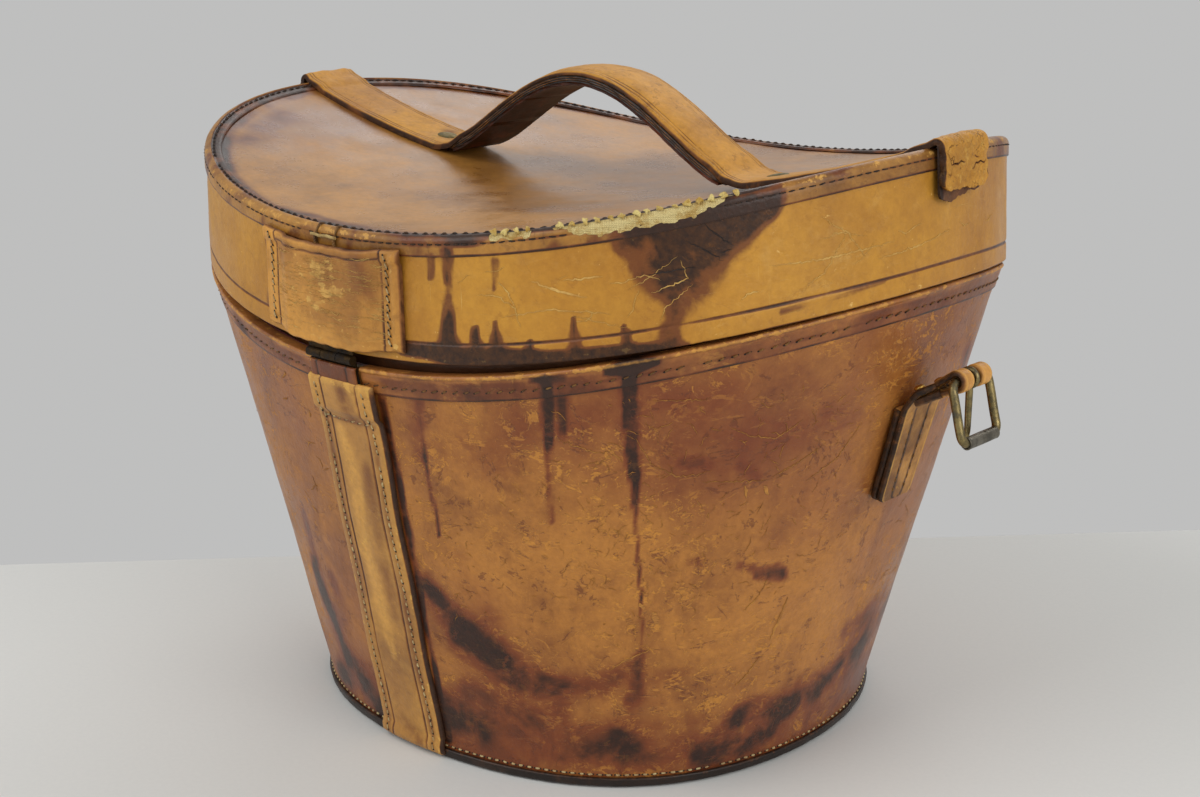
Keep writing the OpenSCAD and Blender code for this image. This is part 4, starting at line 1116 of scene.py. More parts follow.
BAND_FRAYS = [
    ([(-30, 212), (-25, 196), (-22, 187)], 0.5), ([(-31.4, 205), (-24, 206), (-12, 209)], 0.5),
    ([(-20, 214), (-23, 203), (-27, 196)], 0.4), ([(-42, 189), (-30, 192), (-16, 198)], 0.5),
    ([(-15, 204), (-7, 206), (0, 209)], 0.45), ([(-62, 199), (-58, 196), (-55, 195)], 0.9),
    ([(-66, 186), (-60, 190), (-52, 190)], 0.4), ([(-58, 200), (-53, 202)], 0.6),
    ([(-24, 220), (-20, 214), (-17, 205)], 0.4),
]
BAND_FRAYS += random_frays(71, 30, (-72, 6), (184, 214), (4, 22), (0.2, 0.45), 0.5)
BAND_FRAYS += random_frays(72, 50, (6, 232), (184, 212), (4, 24), (0.2, 0.5), 0.5)
BAND_CRACKS = [
    ([(-42.5, 214), (-40, 211), (-37.6, 207.5)], 0.5), ([(-47.4, 203), (-44, 204.6), (-41.2, 205.6)], 0.5),
    ([(-40.2, 219.6), (-38, 215), (-36.2, 212)], 0.55), ([(-38, 210), (-36.5, 211)], 0.4),
]


def band_frays():
    lines = kept(BAND_FRAYS, lambda phi: lid_low(phi) + 8, lambda phi: lid_top(phi) - 8.3,
                 [(-108, -76, 160, 210), (-7, 9, 215, 240), (173, 187, 215, 240)])
    for name, marks, key in (("band_frays", lines, "fray_pale"), ("band_cracks", BAND_CRACKS, "crack")):
        frays(name, lambda phi, z, off: lid_at(phi, z, off + band_relief(phi, z)), marks,
              ("lid", "lid_band"), M[key])


lid_band()
band_frays()


# Lid top: a disc curved along X, built from rings

# The narrow strokes near the outline are painted shade just inside the edge binding; the broad ones are dark
# clouds.
TOP_STAIN_AND_SHADE = [
    ([(66, -120), (20, -124), (-44, -121)], [3, 4, 3], 0.7),
    ([(120, -84), (92, -104)], [7, 7], 0.75),
    ([(-40, -40), (10, -30)], [16, 12], 0.16),
    ([(20, 10), (60, -5)], [20, 16], 0.2),
    ([(-120, 10), (-110, -60)], [26, 24], 0.22),
    ([(-140, -40), (-120, -80)], [6, 5], 0.5),
]
TOP_GOLD_AND_LIGHT = [
    # The first stroke, along the front of the top, is partly painted highlight and partly golden tone.
    ([(-24, -102), (40, -88)], 22, 1.1), ([(-100, -60), (-60, -85)], 20, 0.4),
    ([(90, 10), (130, 30)], 24, 0.4),
    ([(40, 70), (90, 60)], 28, 0.4), ([(-60, 60), (-20, 80)], 28, 0.35),
]


def lid_top_cover():
    out = np.concatenate([[0.0], np.linspace(0.04, 0.93, 40), np.linspace(0.94, 0.985, 8)])
    x, y = oval(LID_A1, LID_B, PHIS)
    x, y = x[:, None] * out, y[:, None] * out
    sag = 0.45 * ripple(flat(x, y), 90, 61) + 0.12 * ripple(flat(x, y), 30, 62) - 0.3
    top = np.stack([x, y, top_z(x) - BIND + sag], -1)
    low = np.stack([x, y, top_z(x) - BIND - COVER], -1)
    rings = np.concatenate([top[:, ::-1], low], 1)
    edge_mm = (1 - mirrored(out[::-1], rings)) * 150
    # painted shade: a darker ring just inside the edge binding, where it steps down onto the top
    border = 0.8 * smooth((12.5 - edge_mm) / 5.0) * (0.75 + 0.25 * ripple(rings, 30, 63))
    stain = np.maximum(segment_mask(rings[..., :2], TOP_STAIN_AND_SHADE), border)
    gold = segment_mask(rings[..., :2], TOP_GOLD_AND_LIGHT) * (1 - border)
    build("lid_top_leather", rings.reshape(-1, 3), *sweep_data(rings, True), ("lid", "lid_top_cover"),
          M["top"], "lid_top_cover", painted(rings, gold, stain), merge=True)


lid_top_cover()


# Edge binding of the lid: down the band, round the edge and onto the top

ROUND = 2.6  # radius of the rolled edge
SIDE_STITCH, TOP_STITCH = 3.0, 3.4  # from the edge to the two rows of stitches
ON_BAND = 0.42  # lift of the binding's face off the band


def on_top(phi, inset, lift):
    """A line on the lid's top, inset from its outline."""
    x, y = oval(LID_A1, LID_B, phi, -inset)
    return np.stack([x, y, top_z(x) + lift], -1)


def torn_rim(deg, drop):
    """Where the binding is worn through to the canvas, from 0 to 1."""
    low = 4.6 * smooth((deg + 61) / 8) * smooth((-34 - deg) / 9)
    low = low + 0.45 * np.sin(deg * 2.1) + 0.3 * np.sin(deg * 5.3)
    wide = smooth((deg + 60) / 1.5) * smooth((-34.5 - deg) / 2) * smooth((low - drop) / 0.9 + 0.5)
    low = 2.3 + 0.5 * np.sin(deg * 3)
    small = smooth((deg + 67.8) / 0.8) * smooth((-61.5 - deg) / 0.8) * smooth((low - drop) / 0.9 + 0.5)
    return np.maximum(wide, small) * smooth((drop + 0.2) / 0.8)


def edge_columns(deg):
    """Lines of the binding's face, of its back, and how far each is below the edge (or minus its
    inset on the top)."""
    faces, backs, drops = [], [], []
    for drop in np.concatenate([EDGE_H - np.array([0, 0.1, 0.35]), np.linspace(EDGE_H - 0.8, ROUND + 0.1,
            12)]):
        lift = np.interp(EDGE_H - drop, [0, 0.1, 0.35, 0.8], [0.05, 0.28, 0.4, ON_BAND])
        lift = lift + groove(drop, SIDE_STITCH, 0.14, 0.6) - 0.3 * torn_rim(deg, drop)
        faces.append(lid_at(PHIS, lid_top(PHIS) - drop, lift))
        backs.append(lid_at(PHIS, lid_top(PHIS) - drop, 0.02))
        drops.append(drop)
    for t in np.linspace(0.0, 1.0, 11):
        a = t * PI / 2
        drop = ROUND * (1 - t) - 0.4 * t
        for lines, r in ((faces, ROUND - 0.3 * torn_rim(deg, drop)), (backs, ROUND - 0.75)):
            x, y = oval(LID_A1, LID_B, PHIS, ON_BAND - ROUND + r * math.cos(a))
            lines.append(np.stack([x, y, lid_top(PHIS) - ROUND + r * math.sin(a)], -1))
        drops.append(drop)
    for inset in np.concatenate([np.linspace(2.5, 5.6, 9), [6.0, 6.3, 6.5]]):
        lift = np.interp(inset, [5.6, 6.0, 6.3, 6.5], [-0.02, -0.1, -0.45, -0.75])
        faces.append(on_top(PHIS, inset, lift + groove(inset, TOP_STITCH, 0.14, 0.55) - 0.02))
        backs.append(on_top(PHIS, inset, -0.95))
        drops.append(-inset)
    return np.stack(faces, 1), np.stack(backs, 1), np.array(drops)


def edge_binding():
    part = ("lid", "lid_edge_binding")
    deg = np.degrees(wrapped(PHIS))
    face, back, drops = edge_columns(deg)
    outward = unit(face - np.array([0, 0, 205.0]))
    rough = 0.1 * ripple(face, 13, 71) + 0.05 * ripple(face, 4, 72)
    rings = shell(face + outward * rough[..., None], back)
    drop = mirrored(drops, rings)
    deg = deg[:, None] + 0 * drop
    front = smooth((deg + 84) / 5) * smooth((-27 - deg) / 6)
    worn = 0.5 + 0.5 * ripple(rings, 16, 73)
    stain = strongest(1.1 * front * smooth((1.8 - drop) / 1.4) * smooth((drop + 6.2) / 2.5),
                      0.62 * smooth((deg + 83) / 4) * smooth((-66 - deg) / 4) * smooth((5 - drop) / 2),
                      0.85 * smooth((drop - EDGE_H + 1.1) / 0.8),
                      (0.62 + 0.3 * worn) * smooth((-0.3 - drop) / 1.6),
                      0.42 * smooth((ripple(rings, 20, 74) - 0.15) / 0.6),
                      0.35 * ridge(drop, SIDE_STITCH, 0.9),
                      wall_paint(np.radians(deg), rings[..., 2], [], BAND_STAIN, 6)[1])
    wear = 0.46 * ridge(drop, 1.4, 2.0) * (1 - 0.8 * front)
    sweep("lid_edge_leather", rings, True, part, M["edge"], "lid_edge_binding",
          painted(rings, 0.45, stain, wear, canvas=torn_rim(deg, drop)))
    line = on_top(LOOP_PHIS, TOP_STITCH, -0.12)
    stitch_rows("edge_stitches_top", line, np.array([0, 0, 1.0]) + 0 * line, part, "thread_dark", 4.2, 2.5,
                0.46, sunk=0.7)
    line, normals = on_wall(lid_at, LOOP_PHIS, lid_top(LOOP_PHIS) - SIDE_STITCH, 0.3)
    torn = torn_rim(np.degrees(wrapped(LOOP_PHIS)), SIDE_STITCH) >= 0.3
    span = cumulative(line)[torn]
    stitch_rows("edge_stitches_side", line, normals, part, "thread_dark", 3.6, 1.9, 0.28,
                (span.min() - 1, span.max() + 1))


def edge_knots():
    """Knots of the sewing thread, left standing where the binding is worn away."""
    parts = [], [], []
    rng = np.random.default_rng(55)
    u = np.linspace(-1, 1, 7)
    wide = 0.52 * np.sqrt(np.maximum(1 - np.abs(u) ** 2.2, 0.04))
    for a in np.concatenate([np.arange(-66.8, -62, 1.5), np.arange(-58.4, -35.5, 1.62)]):
        phi = np.radians(a + rng.normal(0, 0.12))
        size = rng.uniform(0.85, 1.25)
        x, y = oval(LID_A1, LID_B, phi, -0.9)
        c = np.array([x, y, lid_top(phi) + 0.1])
        n = unit(c - np.array([c[0] * 0.35, c[1] * 0.35, 150.0]))
        t = unit(np.cross(n, [0, 0, 1.0]))
        b = np.cross(n, t)
        for _ in range(3):
            way = unit(t * rng.normal(0, 1) + b * rng.normal(0, 1))
            middle = c + t * rng.normal(0, 0.25) + b * rng.normal(0, 0.2) + n * rng.uniform(0.1, 0.35)
            bead(parts, middle, way, n, np.cross(n, way), 1.15 * size * u, 0.4 * (1 - u * u) - 0.1,
                 size * wide, 8)
    build("edge_knots", *parts, ("lid", "lid_edge_binding"), M["thread_cream"], sharp=180)


edge_binding()
edge_knots()


# Patch over the upper hinge leaf

PATCH_X, PATCH_HALF, HEM = HINGE_X, 37.0, 9.0
PATCH_A = LID_A0 * 0.995  # half length of the band behind the patch, to turn x into an angle
HEM_STITCH = 5.2  # from the patch's sides to its stitches


def over_edge(z):
    """How far the patch steps over the edge binding."""
    return np.interp(z - (TOP_DIP - EDGE_H), [-2.2, -0.8], [0, 1.3])


def patch_pocket(edge):
    """How far the patch stands off the band for the hinge leaf under it."""
    return 0.15 + 2.6 * smooth((edge - HEM) / HEM)


def patch_paint(rings, x, z, above_low, below_top):
    inside = smooth((PATCH_HALF - 7.6 - np.abs(x)) / 1.5)
    smudges = [([(-14, 195), (6, 192), (16, 186)], [9, 11, 10], 0.34), ([(20, 198), (24, 190)], [4, 4], 0.4),
               ([(-26, 197), (-20, 199)], [4, 3], 0.3), ([(-10, 178), (14, 176)], [3, 4], 0.2)]
    stain = strongest(ridge(PATCH_HALF - np.abs(x), 8.2, 0.8),
                      # painted shadow along the outer side of the thick right hem
                      smooth((x - PATCH_HALF + 0.6) / 0.5),
                      0.5 * ridge(above_low, 0.2, 0.9),
                      0.9 * ridge(below_top, 3.2, 0.9) * inside,
                      0.75 * smooth(1 - below_top / 0.7),
                      segment_mask(np.stack([x, z], -1), smudges) * inside)
    gold = (0.4 + 0.5 * smooth((np.abs(x) - 26) / 4) + 0.2 * ripple(rings, 30, 82) + 0.5
            * smooth((181 - z) / 8))
    wear = 0.3 * smooth(1 - np.hypot(x / 28, (z - 190) / 17)) + 0.3 * ridge(above_low, 2.6, 1.5)
    wear = wear + 0.3 * ridge(PATCH_HALF - x, 2.6, 2)
    level = flat(x, 3.2 * z)
    worn = ripple(level, 21, 85) + 0.7 * ripple(level, 8, 86) + 0.4 * ripple(level, 4, 87)
    near = smooth(1.15 - np.hypot(x / 34, (z - 190) / 20))
    return gold, stain, wear + 0.42 * smooth((worn - 0.1) / 0.3) * inside * near


def lid_patch():
    xs = np.linspace(-PATCH_HALF, PATCH_HALF, 149)
    edge = PATCH_HALF - np.abs(xs)
    bow = smooth(edge / 24)
    low = 168.9 - 2.2 * bow + 0.15 * np.sin(xs * 0.8)
    top = 204.9 - 2.0 * bow + 0.12 * np.sin(xs * 0.7 + 1)
    z = low + (top - low) * np.linspace(0, 1, 56)[:, None]
    x = xs + 0 * z
    phi = side_angle(x + PATCH_X, PATCH_A)
    lift = np.maximum(patch_pocket(edge), over_edge(z))
    end = np.minimum(z - low, top - z)
    thick = (1.75 + groove(edge, 8.2, 0.35, 0.5) + groove(edge, 2.2, 0.15, 0.5) - rounded(edge, 1.0)
             - rounded(end, 1.0))
    thick = thick + 0.2 * ripple(flat(x, z), 17, 81) - 0.25 * dip(z, low + 2.6, 0.4)
    thick = (thick + bow * (0.5 * dip(z, top - 1.3, 1.0) - 0.45
                            * dip(z, top - 3.2 - 0.2 * np.sin(x * 0.4), 0.5)))
    rolled = 1.7 * dip(x, PATCH_HALF - 2.0, 2.0) * np.clip(end / 2, 0, 1)
    rings = shell(lid_at(phi, z, lift + thick + rolled), lid_at(phi, z, lift))
    x, z = mirrored(xs, rings), np.concatenate([z, z[:, ::-1]], 1)
    above_low, below_top = z - np.tile(low, 2), np.tile(top, 2) - z
    sweep("lid_patch_leather", rings, False, ("lid", "lid_patch"), M["patch"], "lid_patch",
          painted(rings, *patch_paint(rings, x, z, above_low, below_top)))


def patch_stitches():
    z = np.linspace(171.0, 203.5, 30)
    for tag, side in (("a", -1), ("b", 1)):
        phi = side_angle(PATCH_X + side * (PATCH_HALF - HEM_STITCH) + 0 * z, PATCH_A)
        line = on_wall(lid_at, phi, z, 2.05 + over_edge(z) + (0.45 if side > 0 else 0))
        stitch_rows("patch_stitches_" + tag, *line, ("lid", "lid_patch"), "thread_pale", 2.9, 2.3, 0.3,
                    slant=0.55)


def on_patch(phi, z, off):
    """Places of the patch's face, for scratches given in degrees and heights."""
    x = np.sin(phi + PI / 2) * PATCH_A * (1 + 3 * FULL) / (1 - FULL)
    out = patch_pocket(PATCH_HALF - abs(x - PATCH_X)) + 1.75 + off
    return lid_at(side_angle(x, PATCH_A), z, out)


def patch_scuffs():
    rng = np.random.default_rng(83)
    lines = []
    for _ in range(230):
        a, z = rng.uniform(-101.5, -82), 171 + 32 * rng.random() ** 0.8
        reach = rng.uniform(0.5, 4.2)
        slope = rng.normal(0, 0.5)
        lines.append(([(a, z), (min(a + reach, -81.3), z + slope)], rng.uniform(0.08, 0.26)))
    frays("patch_scuffs", on_patch, lines, ("lid", "lid_patch"), M["fray_pale"], 0.28, 84)


lid_patch()
patch_scuffs()
patch_stitches()


# Thread ties of the patch: two loops over the edge binding, a bar, and ends that go down behind

TIES_X = (-5.0, 5.0)
TIE_Y, TIE_Z, TIE_LOW = -(LID_B + BIND + GLUE + 0.65), 205.6, 172.0


def tie_loops():
    parts = [], [], []
    u = np.linspace(-0.12, 1.12, 6)
    wide = 0.42 * np.sqrt(np.maximum(1 - np.abs(2 * u - 1) ** 3 * 0.55, 0.1))
    for k, dx in enumerate(TIES_X):
        phi = side_angle(PATCH_X + dx, PATCH_A)
        run = [lid_at(phi, lid_top(phi) - d, 0.75) for d in (8.6, 7.4, 6.0, 4.6, 3.2, 2.0)]
        for inset, lift in ((0.6, 0.35), (3.0, 0.1)):
            x, y = oval(LID_A1, LID_B, phi, -inset)
            run.append(np.array([x, y, lid_top(phi) + lift]))
        run = np.array(run)
        run[:, 0] += 0.35 * np.sin(np.arange(len(run)) * 1.3 + k)
        for a, b in zip(run[:-1], run[1:]):
            way = unit(b - a)
            n = unit(np.cross(way, [1.0, 0, 0]))
            bead(parts, a, way, n, np.cross(way, n), np.linalg.norm(b - a) * u, 0 * u, wide, 8)
    build("patch_tie_loops", *parts, ("lid", "patch_ties"), M["thread_mid"], sharp=180)


def tie_bar():
    part = ("lid", "patch_ties")
    reach = np.linspace(-6.4, 6.4, 22)
    bar = np.stack([HINGE_X + reach, TIE_Y + 0.12 * np.sin(reach * 1.1),
                    TIE_Z + 0.14 * np.sin(reach * 0.8)], -1)
    tube("patch_tie_bar", bar, 0.56 + 0.05 * np.sin(reach * 4.4), 14, part, M["thread_tie"], "patch_ties")
    fall = np.linspace(0.4, TIE_LOW - TIE_Z, 24)
    for k, dx in enumerate(TIES_X):
        cord = np.stack([HINGE_X + dx + 0.1 * np.sin(fall), TIE_Y + 0.4 + 0 * fall, TIE_Z + fall], -1)
        tube("patch_tie_end_%d" % k, cord, 0.5, 12, part, M["thread_mid"])


tie_loops()


# Strap over the lid, raised in the middle as the handle

LEAN = math.atan((LID_A0 - LID_A1) / 46.6)  # of the band, from upright
STEEP = math.atan(2 * TOP_RISE / LID_A1)  # of the top at its ends
HANG = 60  # points down each hanging end
TORN_DROP, LAYER_DROP = 14.5, 18.0  # how far the strap and its lower layer hang down


def arch(x):
    t = np.clip(np.abs(x - ARCH_X) / ARCH_HALF, 0, 1)
    return ARCH_H * (1 - t * t) ** ARCH_POWER


def rest_z(x):
    """Height that the strap's layers rest on."""
    return top_z(x) - 0.85 + BIND * smooth((np.abs(x) - LID_A1 + 11.5) / 4) + arch(x)


def core_at(x):
    """Thickness of the handle's core."""
    return 0.3 + (CORE_T - 0.3) * smooth((ARCH_HALF - 4 - np.abs(x - ARCH_X)) / 12)


def strap_lift(x):
    out = np.abs(x - ARCH_X)
    ramp = (UNDER_T + 2 * LAYER_GAP + 0.3) * smooth((ARCH_HALF + 5 - out) / 9)
    return np.where(out > ARCH_HALF - 4, ramp, UNDER_T + 2 * LAYER_GAP + core_at(x))


def off_rest(x, off):
    """Points of X and Z at a distance off the rest line, and the directions off it."""
    d = 0.01
    slope = (rest_z(x + d) - rest_z(x - d)) / (2 * d)
    n = unit(np.stack([-slope, 1 + 0 * slope], -1))
    return np.stack([x, rest_z(x)], -1) + np.asarray(off)[..., None] * n, n


def strap_path(drop):
    """Underside points of the whole strap from end to end, and the directions off it."""
    x = np.linspace(2 - LID_A1, LID_A1 - 2, 260)
    p, n = off_rest(x, strap_lift(x))
    bend = np.linspace(PI / 2 + STEEP, -LEAN, 13)
    bend_n = np.stack([np.cos(bend), np.sin(bend)], -1)
    bend_p = np.array([LID_A1 + BIND, TOP_END]) + 0.45 * bend_n
    s = np.linspace(0, 1, HANG + 1)[1:]
    hang_p = bend_p[-1] + s[:, None] * drop * np.array([math.tan(LEAN), -1.0])
    fold_p, fold_n = np.vstack([bend_p, hang_p]), np.vstack([bend_n, np.repeat(bend_n[-1:], HANG, 0)])
    flip = np.array([-1, 1])
    return np.vstack([fold_p[::-1] * flip, p, fold_p]), np.vstack([fold_n[::-1] * flip, n, fold_n])


def torn_ends(count, ys, seed, reach):
    """How far each point of the strap hangs short of its end, for an uneven torn edge."""
    drop = np.zeros((count, len(ys)))
    for end, rows in ((0, slice(HANG)), (1, slice(-HANG, None))):
        k = seed + end
        rag = np.sin(ys * 0.3 + k) + 0.8 * np.sin(ys * 0.83 + 2 * k) + 0.45 * np.sin(ys * 2.1 + k)
        rag = reach * (rag - rag.max()) - 3.0 * np.clip((np.abs(ys) - 8.5) / 5.5, 0, 1) ** 2.4
        share = np.linspace(end - 1, end, HANG)
        drop[rows] = np.abs(share)[:, None] * -rag
    return drop


def strap_face(base, normal, y, height):
    """Places at a height off the strap's path, base holding X and Z."""
    out = base + normal[:, None, :] * np.asarray(height)[..., None]
    return np.stack([out[..., 0], STRAP_Y + y, out[..., 1]], -1)


def end_cracks(along, ys):
    """Cracks across the hanging ends: distance down, span over the width, and slant."""
    cracks = np.zeros((len(along), len(ys)))
    marks = [(6.2, -12, 0, 0.16), (7.6, 1, 14, -0.1), (3.2, 3, 9, 0.25), (10.6, -14, -9, 0.1)]
    for k, (down, low, high, slant) in enumerate(marks):
        wavy = down + slant * ys + 0.7 * np.sin(ys * 0.5 + k) + 0.25 * np.sin(ys * 1.7 + 2 * k)
        for sign, fold in ((-1, TORN_DROP), (1, along[-1] - TORN_DROP)):
            span = smooth((ys - low) / 4) * smooth((high - ys) / 4)
            cracks = np.maximum(cracks, dip(along[:, None], fold + sign * wavy, 0.3) * span)
    return cracks


YS = np.concatenate([[-14, -13.9, -13.6, -13.1], np.linspace(-12.6, 12.6, 57), [13.1, 13.6, 13.9, 14]])


def strap():
    path, normal = strap_path(TORN_DROP)
    edge = STRAP_W / 2 - np.abs(YS)
    in_arch = smooth((ARCH_HALF - 2 - np.abs(path[:, 0] - ARCH_X)) / 22)[:, None]
    at_end = smooth((np.abs(path[:, 0]) - LID_A1 + 3) / 4)[:, None]
    level = 2.55 + 0.3 * smooth(edge / 8)
    domed = 1.35 + 1.75 * (1 - rounded(edge, 14, 2.2))
    swollen = 3.0 + 0.5 * smooth(edge / 5)
    top = level + (domed - level) * in_arch + (swollen - level) * at_end - 0.8 * rounded(edge, 0.9)
    top = top + (groove(edge, 2.1, 0.2, 0.35) + groove(edge, 3.6, 0.2, 0.35)) * (1 - at_end)
    y = YS * (1 - 0.03 * in_arch)
    along = cumulative(path)
    p = flat(along[:, None], y)
    lumpy = 0.22 * ripple(p, 6.5, 96) + 0.2 * np.abs(ripple(p, 3.4, 97))
    top = top + (0.12 * ripple(p, 11, 91) + 0.06 * ripple(p, 4.5, 92) + lumpy * at_end) * (edge > 0.5)
    cracks = end_cracks(along, YS)
    top = top - 0.55 * cracks
    s = along[:, None]
    y = y * (1 + 0.03 * at_end * np.sin(s * 0.33)) + 0.3 * at_end * np.sin(s * 0.9)
    base = path[:, None, :] - torn_ends(len(path), YS, 93, 0.4)[..., None] * np.array([0, -1.0])
    rings = shell(strap_face(base, normal, y, top), strap_face(base, normal, y, 0.95 * at_end))
    edge = mirrored(edge, rings)
    x = np.abs(rings[..., 0])
    stub = smooth((x - LID_A1 + 1) / 3)
    smudges = [([(-90, 8), (-84, 2)], 4, 0.4), ([(86, 6), (94, 2)], 4, 0.35)]
    stain = strongest((1.0 + 0.1 * stub) * smooth((0.62 + 0.2 * stub - edge) / 0.6),
                      0.66 * ridge(edge, 2.1, 0.5) * (1 - stub),
                      0.6 * ridge(edge, 3.6, 0.5) * (1 - stub),
                      0.95 * np.concatenate([cracks, 0 * cracks + 0.85], 1),
                      segment_mask(rings[..., :2], smudges))
    gold = 0.5 + 0.5 * smooth((60 - x) / 40) + 0.2 * ripple(rings, 33, 95) + 0.5 * stub
    wear = 0.38 * ridge(edge, 1.3, 0.8) * (1 - stub) + 0.34 * stub
    sweep("strap_leather", rings, False, ("lid", "strap"), M["strap"], "strap",
          painted(rings, gold, stain, wear))


def under_layers():
    """The strap's dark lower layer, which shows below its torn ends."""
    path, normal = strap_path(LAYER_DROP)
    share = np.zeros(len(path))
    share[:HANG], share[-HANG:] = np.linspace(1, 0, HANG), np.linspace(0, 1, HANG)
    slope = 1.2 - 3.0 * (YS + 14) / 28
    short = torn_ends(len(path), YS, 40, 0.45) - share[:, None] * slope
    whole = path[:, None, :] - short[..., None] * np.array([0, -1.0])
    for tag, rows in (("left", slice(0, HANG + 9)), ("right", slice(-HANG - 9, None))):
        base, n = whole[rows], normal[rows]
        y = YS * 0.985 + 0 * base[..., 0]
        fuzz = 0.12 * ripple(np.stack([base[..., 0], y, base[..., 1]], -1), 3, 98)
        rings = shell(strap_face(base, n, y, 0.88 + fuzz), strap_face(base, n, y, 0 * fuzz))
        back = np.concatenate([0 * y, 0 * y + 1], 1)
        dark_side = smooth((STRAP_Y - 10.5 - rings[..., 1]) / 2.5)
        sweep("strap_under_layer_" + tag, rings, False, ("lid", "strap"), M["stub_under"], (),
              painted(rings, 0, np.maximum(0.9 * back, 1.1 * dark_side), 0.2))


def flat_layer(name, slot, material, half, low, high, width, grooves, gold, stain, wear, rim_stain):
    """A layer of the handle between two heights off the rest line, grooved along its edges."""
    x = np.linspace(ARCH_X - half, ARCH_X + half, 190)
    a, b = off_rest(x, low(x))[0], off_rest(x, high(x))[0]
    steps = np.linspace(0, 1, 13)
    inset = 0.22 * (0.5 - 0.5 * np.cos(steps * grooves * 2 * PI)) + 0.1 * np.abs(steps - 0.5)
    rows = []
    for k, s in enumerate(steps):
        c = a + (b - a) * s
        wavy = (0.1 * np.sin(x * 0.35 + 0.3 * k) + 0.08 * np.sin(x * 0.9 + 0.5 * k) + 0.04
                * np.sin(x * 2.3 + k))
        rows.append(np.stack([c[:, 0], STRAP_Y - width / 2 + inset[k] + wavy, c[:, 1]], -1))
    left = np.stack(rows, 1)
    right = left * [1, -1, 1] + [0, 2 * STRAP_Y, 0]
    rings = shell(left, right)
    rim = smooth((np.abs(rings[..., 1] - STRAP_Y) - width / 2 + 1.2) / 0.8)
    wear = wear * smooth((0.1 - mirrored(inset, rings)) / 0.1)
    sweep(name, rings, False, ("lid", slot), M[material], slot,
          painted(rings, gold, np.maximum(stain, rim * rim_stain), wear), sharp=60)


strap()
under_layers()
flat_layer("handle_core_leather", "handle_core", "core", ARCH_HALF - 4, lambda x: UNDER_T + LAYER_GAP + 0
           * x,
           lambda x: UNDER_T + LAYER_GAP + core_at(x), STRAP_W - 0.4, 3, 0, 0.1, 0.75, 0.3)
flat_layer("handle_under_leather", "handle_lining", "under", ARCH_HALF - 8, lambda x: 0.05 + 0 * x,
           lambda x: UNDER_T + 0 * x, STRAP_W - 0.7, 1, 0.3, 0.05, 0.2, 1.1)


# Buckles, and the leather tabs that carry them

WIRE_R, LEG_Y, DROP = 1.6, 11.6, 21.5  # the buckle's wire, half its width, and its length
TAB_T, TAB_SEAT, TAB_ROOT, TAB_LOW = 2.4, 0.3, 148.0, 107.0
BEND_AT = 7.5  # from the tab's root to where its front layer leaves the wall
SLOT_BACK = 8.0  # length of the slot for the prong, from the bar
LOOP_R = WIRE_R + 0.1 + TAB_T / 2  # of the middle of the leather round the bar
BAR = np.array([BAR_X, BAR_Z])
TAB_LINE = BAR - np.array([wall_a(TAB_ROOT) + TAB_SEAT + TAB_T, TAB_ROOT])
TAB_LEN = np.linalg.norm(TAB_LINE)
TAB_DIR = unit(TAB_LINE)
TAB_UP = np.array([-TAB_DIR[1], TAB_DIR[0]])
WALL_DIR = unit(np.array([wall_a(150) - wall_a(100), 50.0]))
WALL_OUT = np.array([WALL_DIR[1], -WALL_DIR[0]])


def between(a, b, shares):
    """Points at shares of the way from a to b."""
    return a + np.asarray(shares)[:, None] * (b - a)


def strip_solid(name, side, centre, thick, y0, y1, part, columns, edge_stain_and_shade, gold, wear, seed, replaced=(),
                tooled=True):
    """A leather strip along centre points in X and Z, between y0 and y1 at each of them."""
    c = np.asarray(centre, float)
    t = unit(np.gradient(c, axis=0))
    n = np.stack([-t[:, 1], t[:, 0]], -1)
    y0, y1 = [np.reshape(v, (-1, 1)) + np.zeros((len(c), 1)) for v in (y0, y1)]
    y = y0 + (y1 - y0) * np.linspace(0, 1, columns)
    edge = np.minimum(y - y0, y1 - y)
    places = np.stack([cumulative(c)[:, None] + 0 * y, y, 0 * y + seed], -1)
    round_off = 0.7 * rounded(edge, 0.9)
    up = thick / 2 - round_off + tooled * groove(edge, 7.0, 0.35, 0.5)
    up = up + 0.12 * ripple(places, 7, seed) * (edge > 0.3)
    faces = []
    for off in (up, round_off - thick / 2):
        place = c[:, None, :] + n[:, None, :] * off[..., None]
        faces.append(np.stack([side * place[..., 0], y, place[..., 1]], -1))
    rings = shell(*faces)
    e = np.concatenate([edge, edge[:, ::-1]], 1)
    from_y0 = np.concatenate([y - y0, (y - y0)[:, ::-1]], 1)
    back = np.concatenate([0 * edge, 0 * edge + 1], 1)
    # The y0 edge, on the front side, is darkened further: partly its dark cut edge, partly painted shade
    # where the tab stands off the curved wall.
    near = smooth((1.5 - from_y0) / 0.7)
    stain = edge_stain_and_shade * smooth((0.8 - e) / 0.7) + 0.35 * back
    stain = stain + tooled * (1.2 * edge_stain_and_shade * near + 0.6 * ridge(e, 7.0, 0.9))
    sweep(name, rings, False, part, M["chape"], replaced,
          painted(rings, gold, stain, wear * ridge(e, 1.3, 1.0)))


def tongue_line(depth, low_z):
    low, high = [np.array([wall_a(z), z]) + WALL_OUT * depth for z in (low_z, TAB_ROOT - 2.5)]
    return between(low, high, np.linspace(0, 1, 40)), high


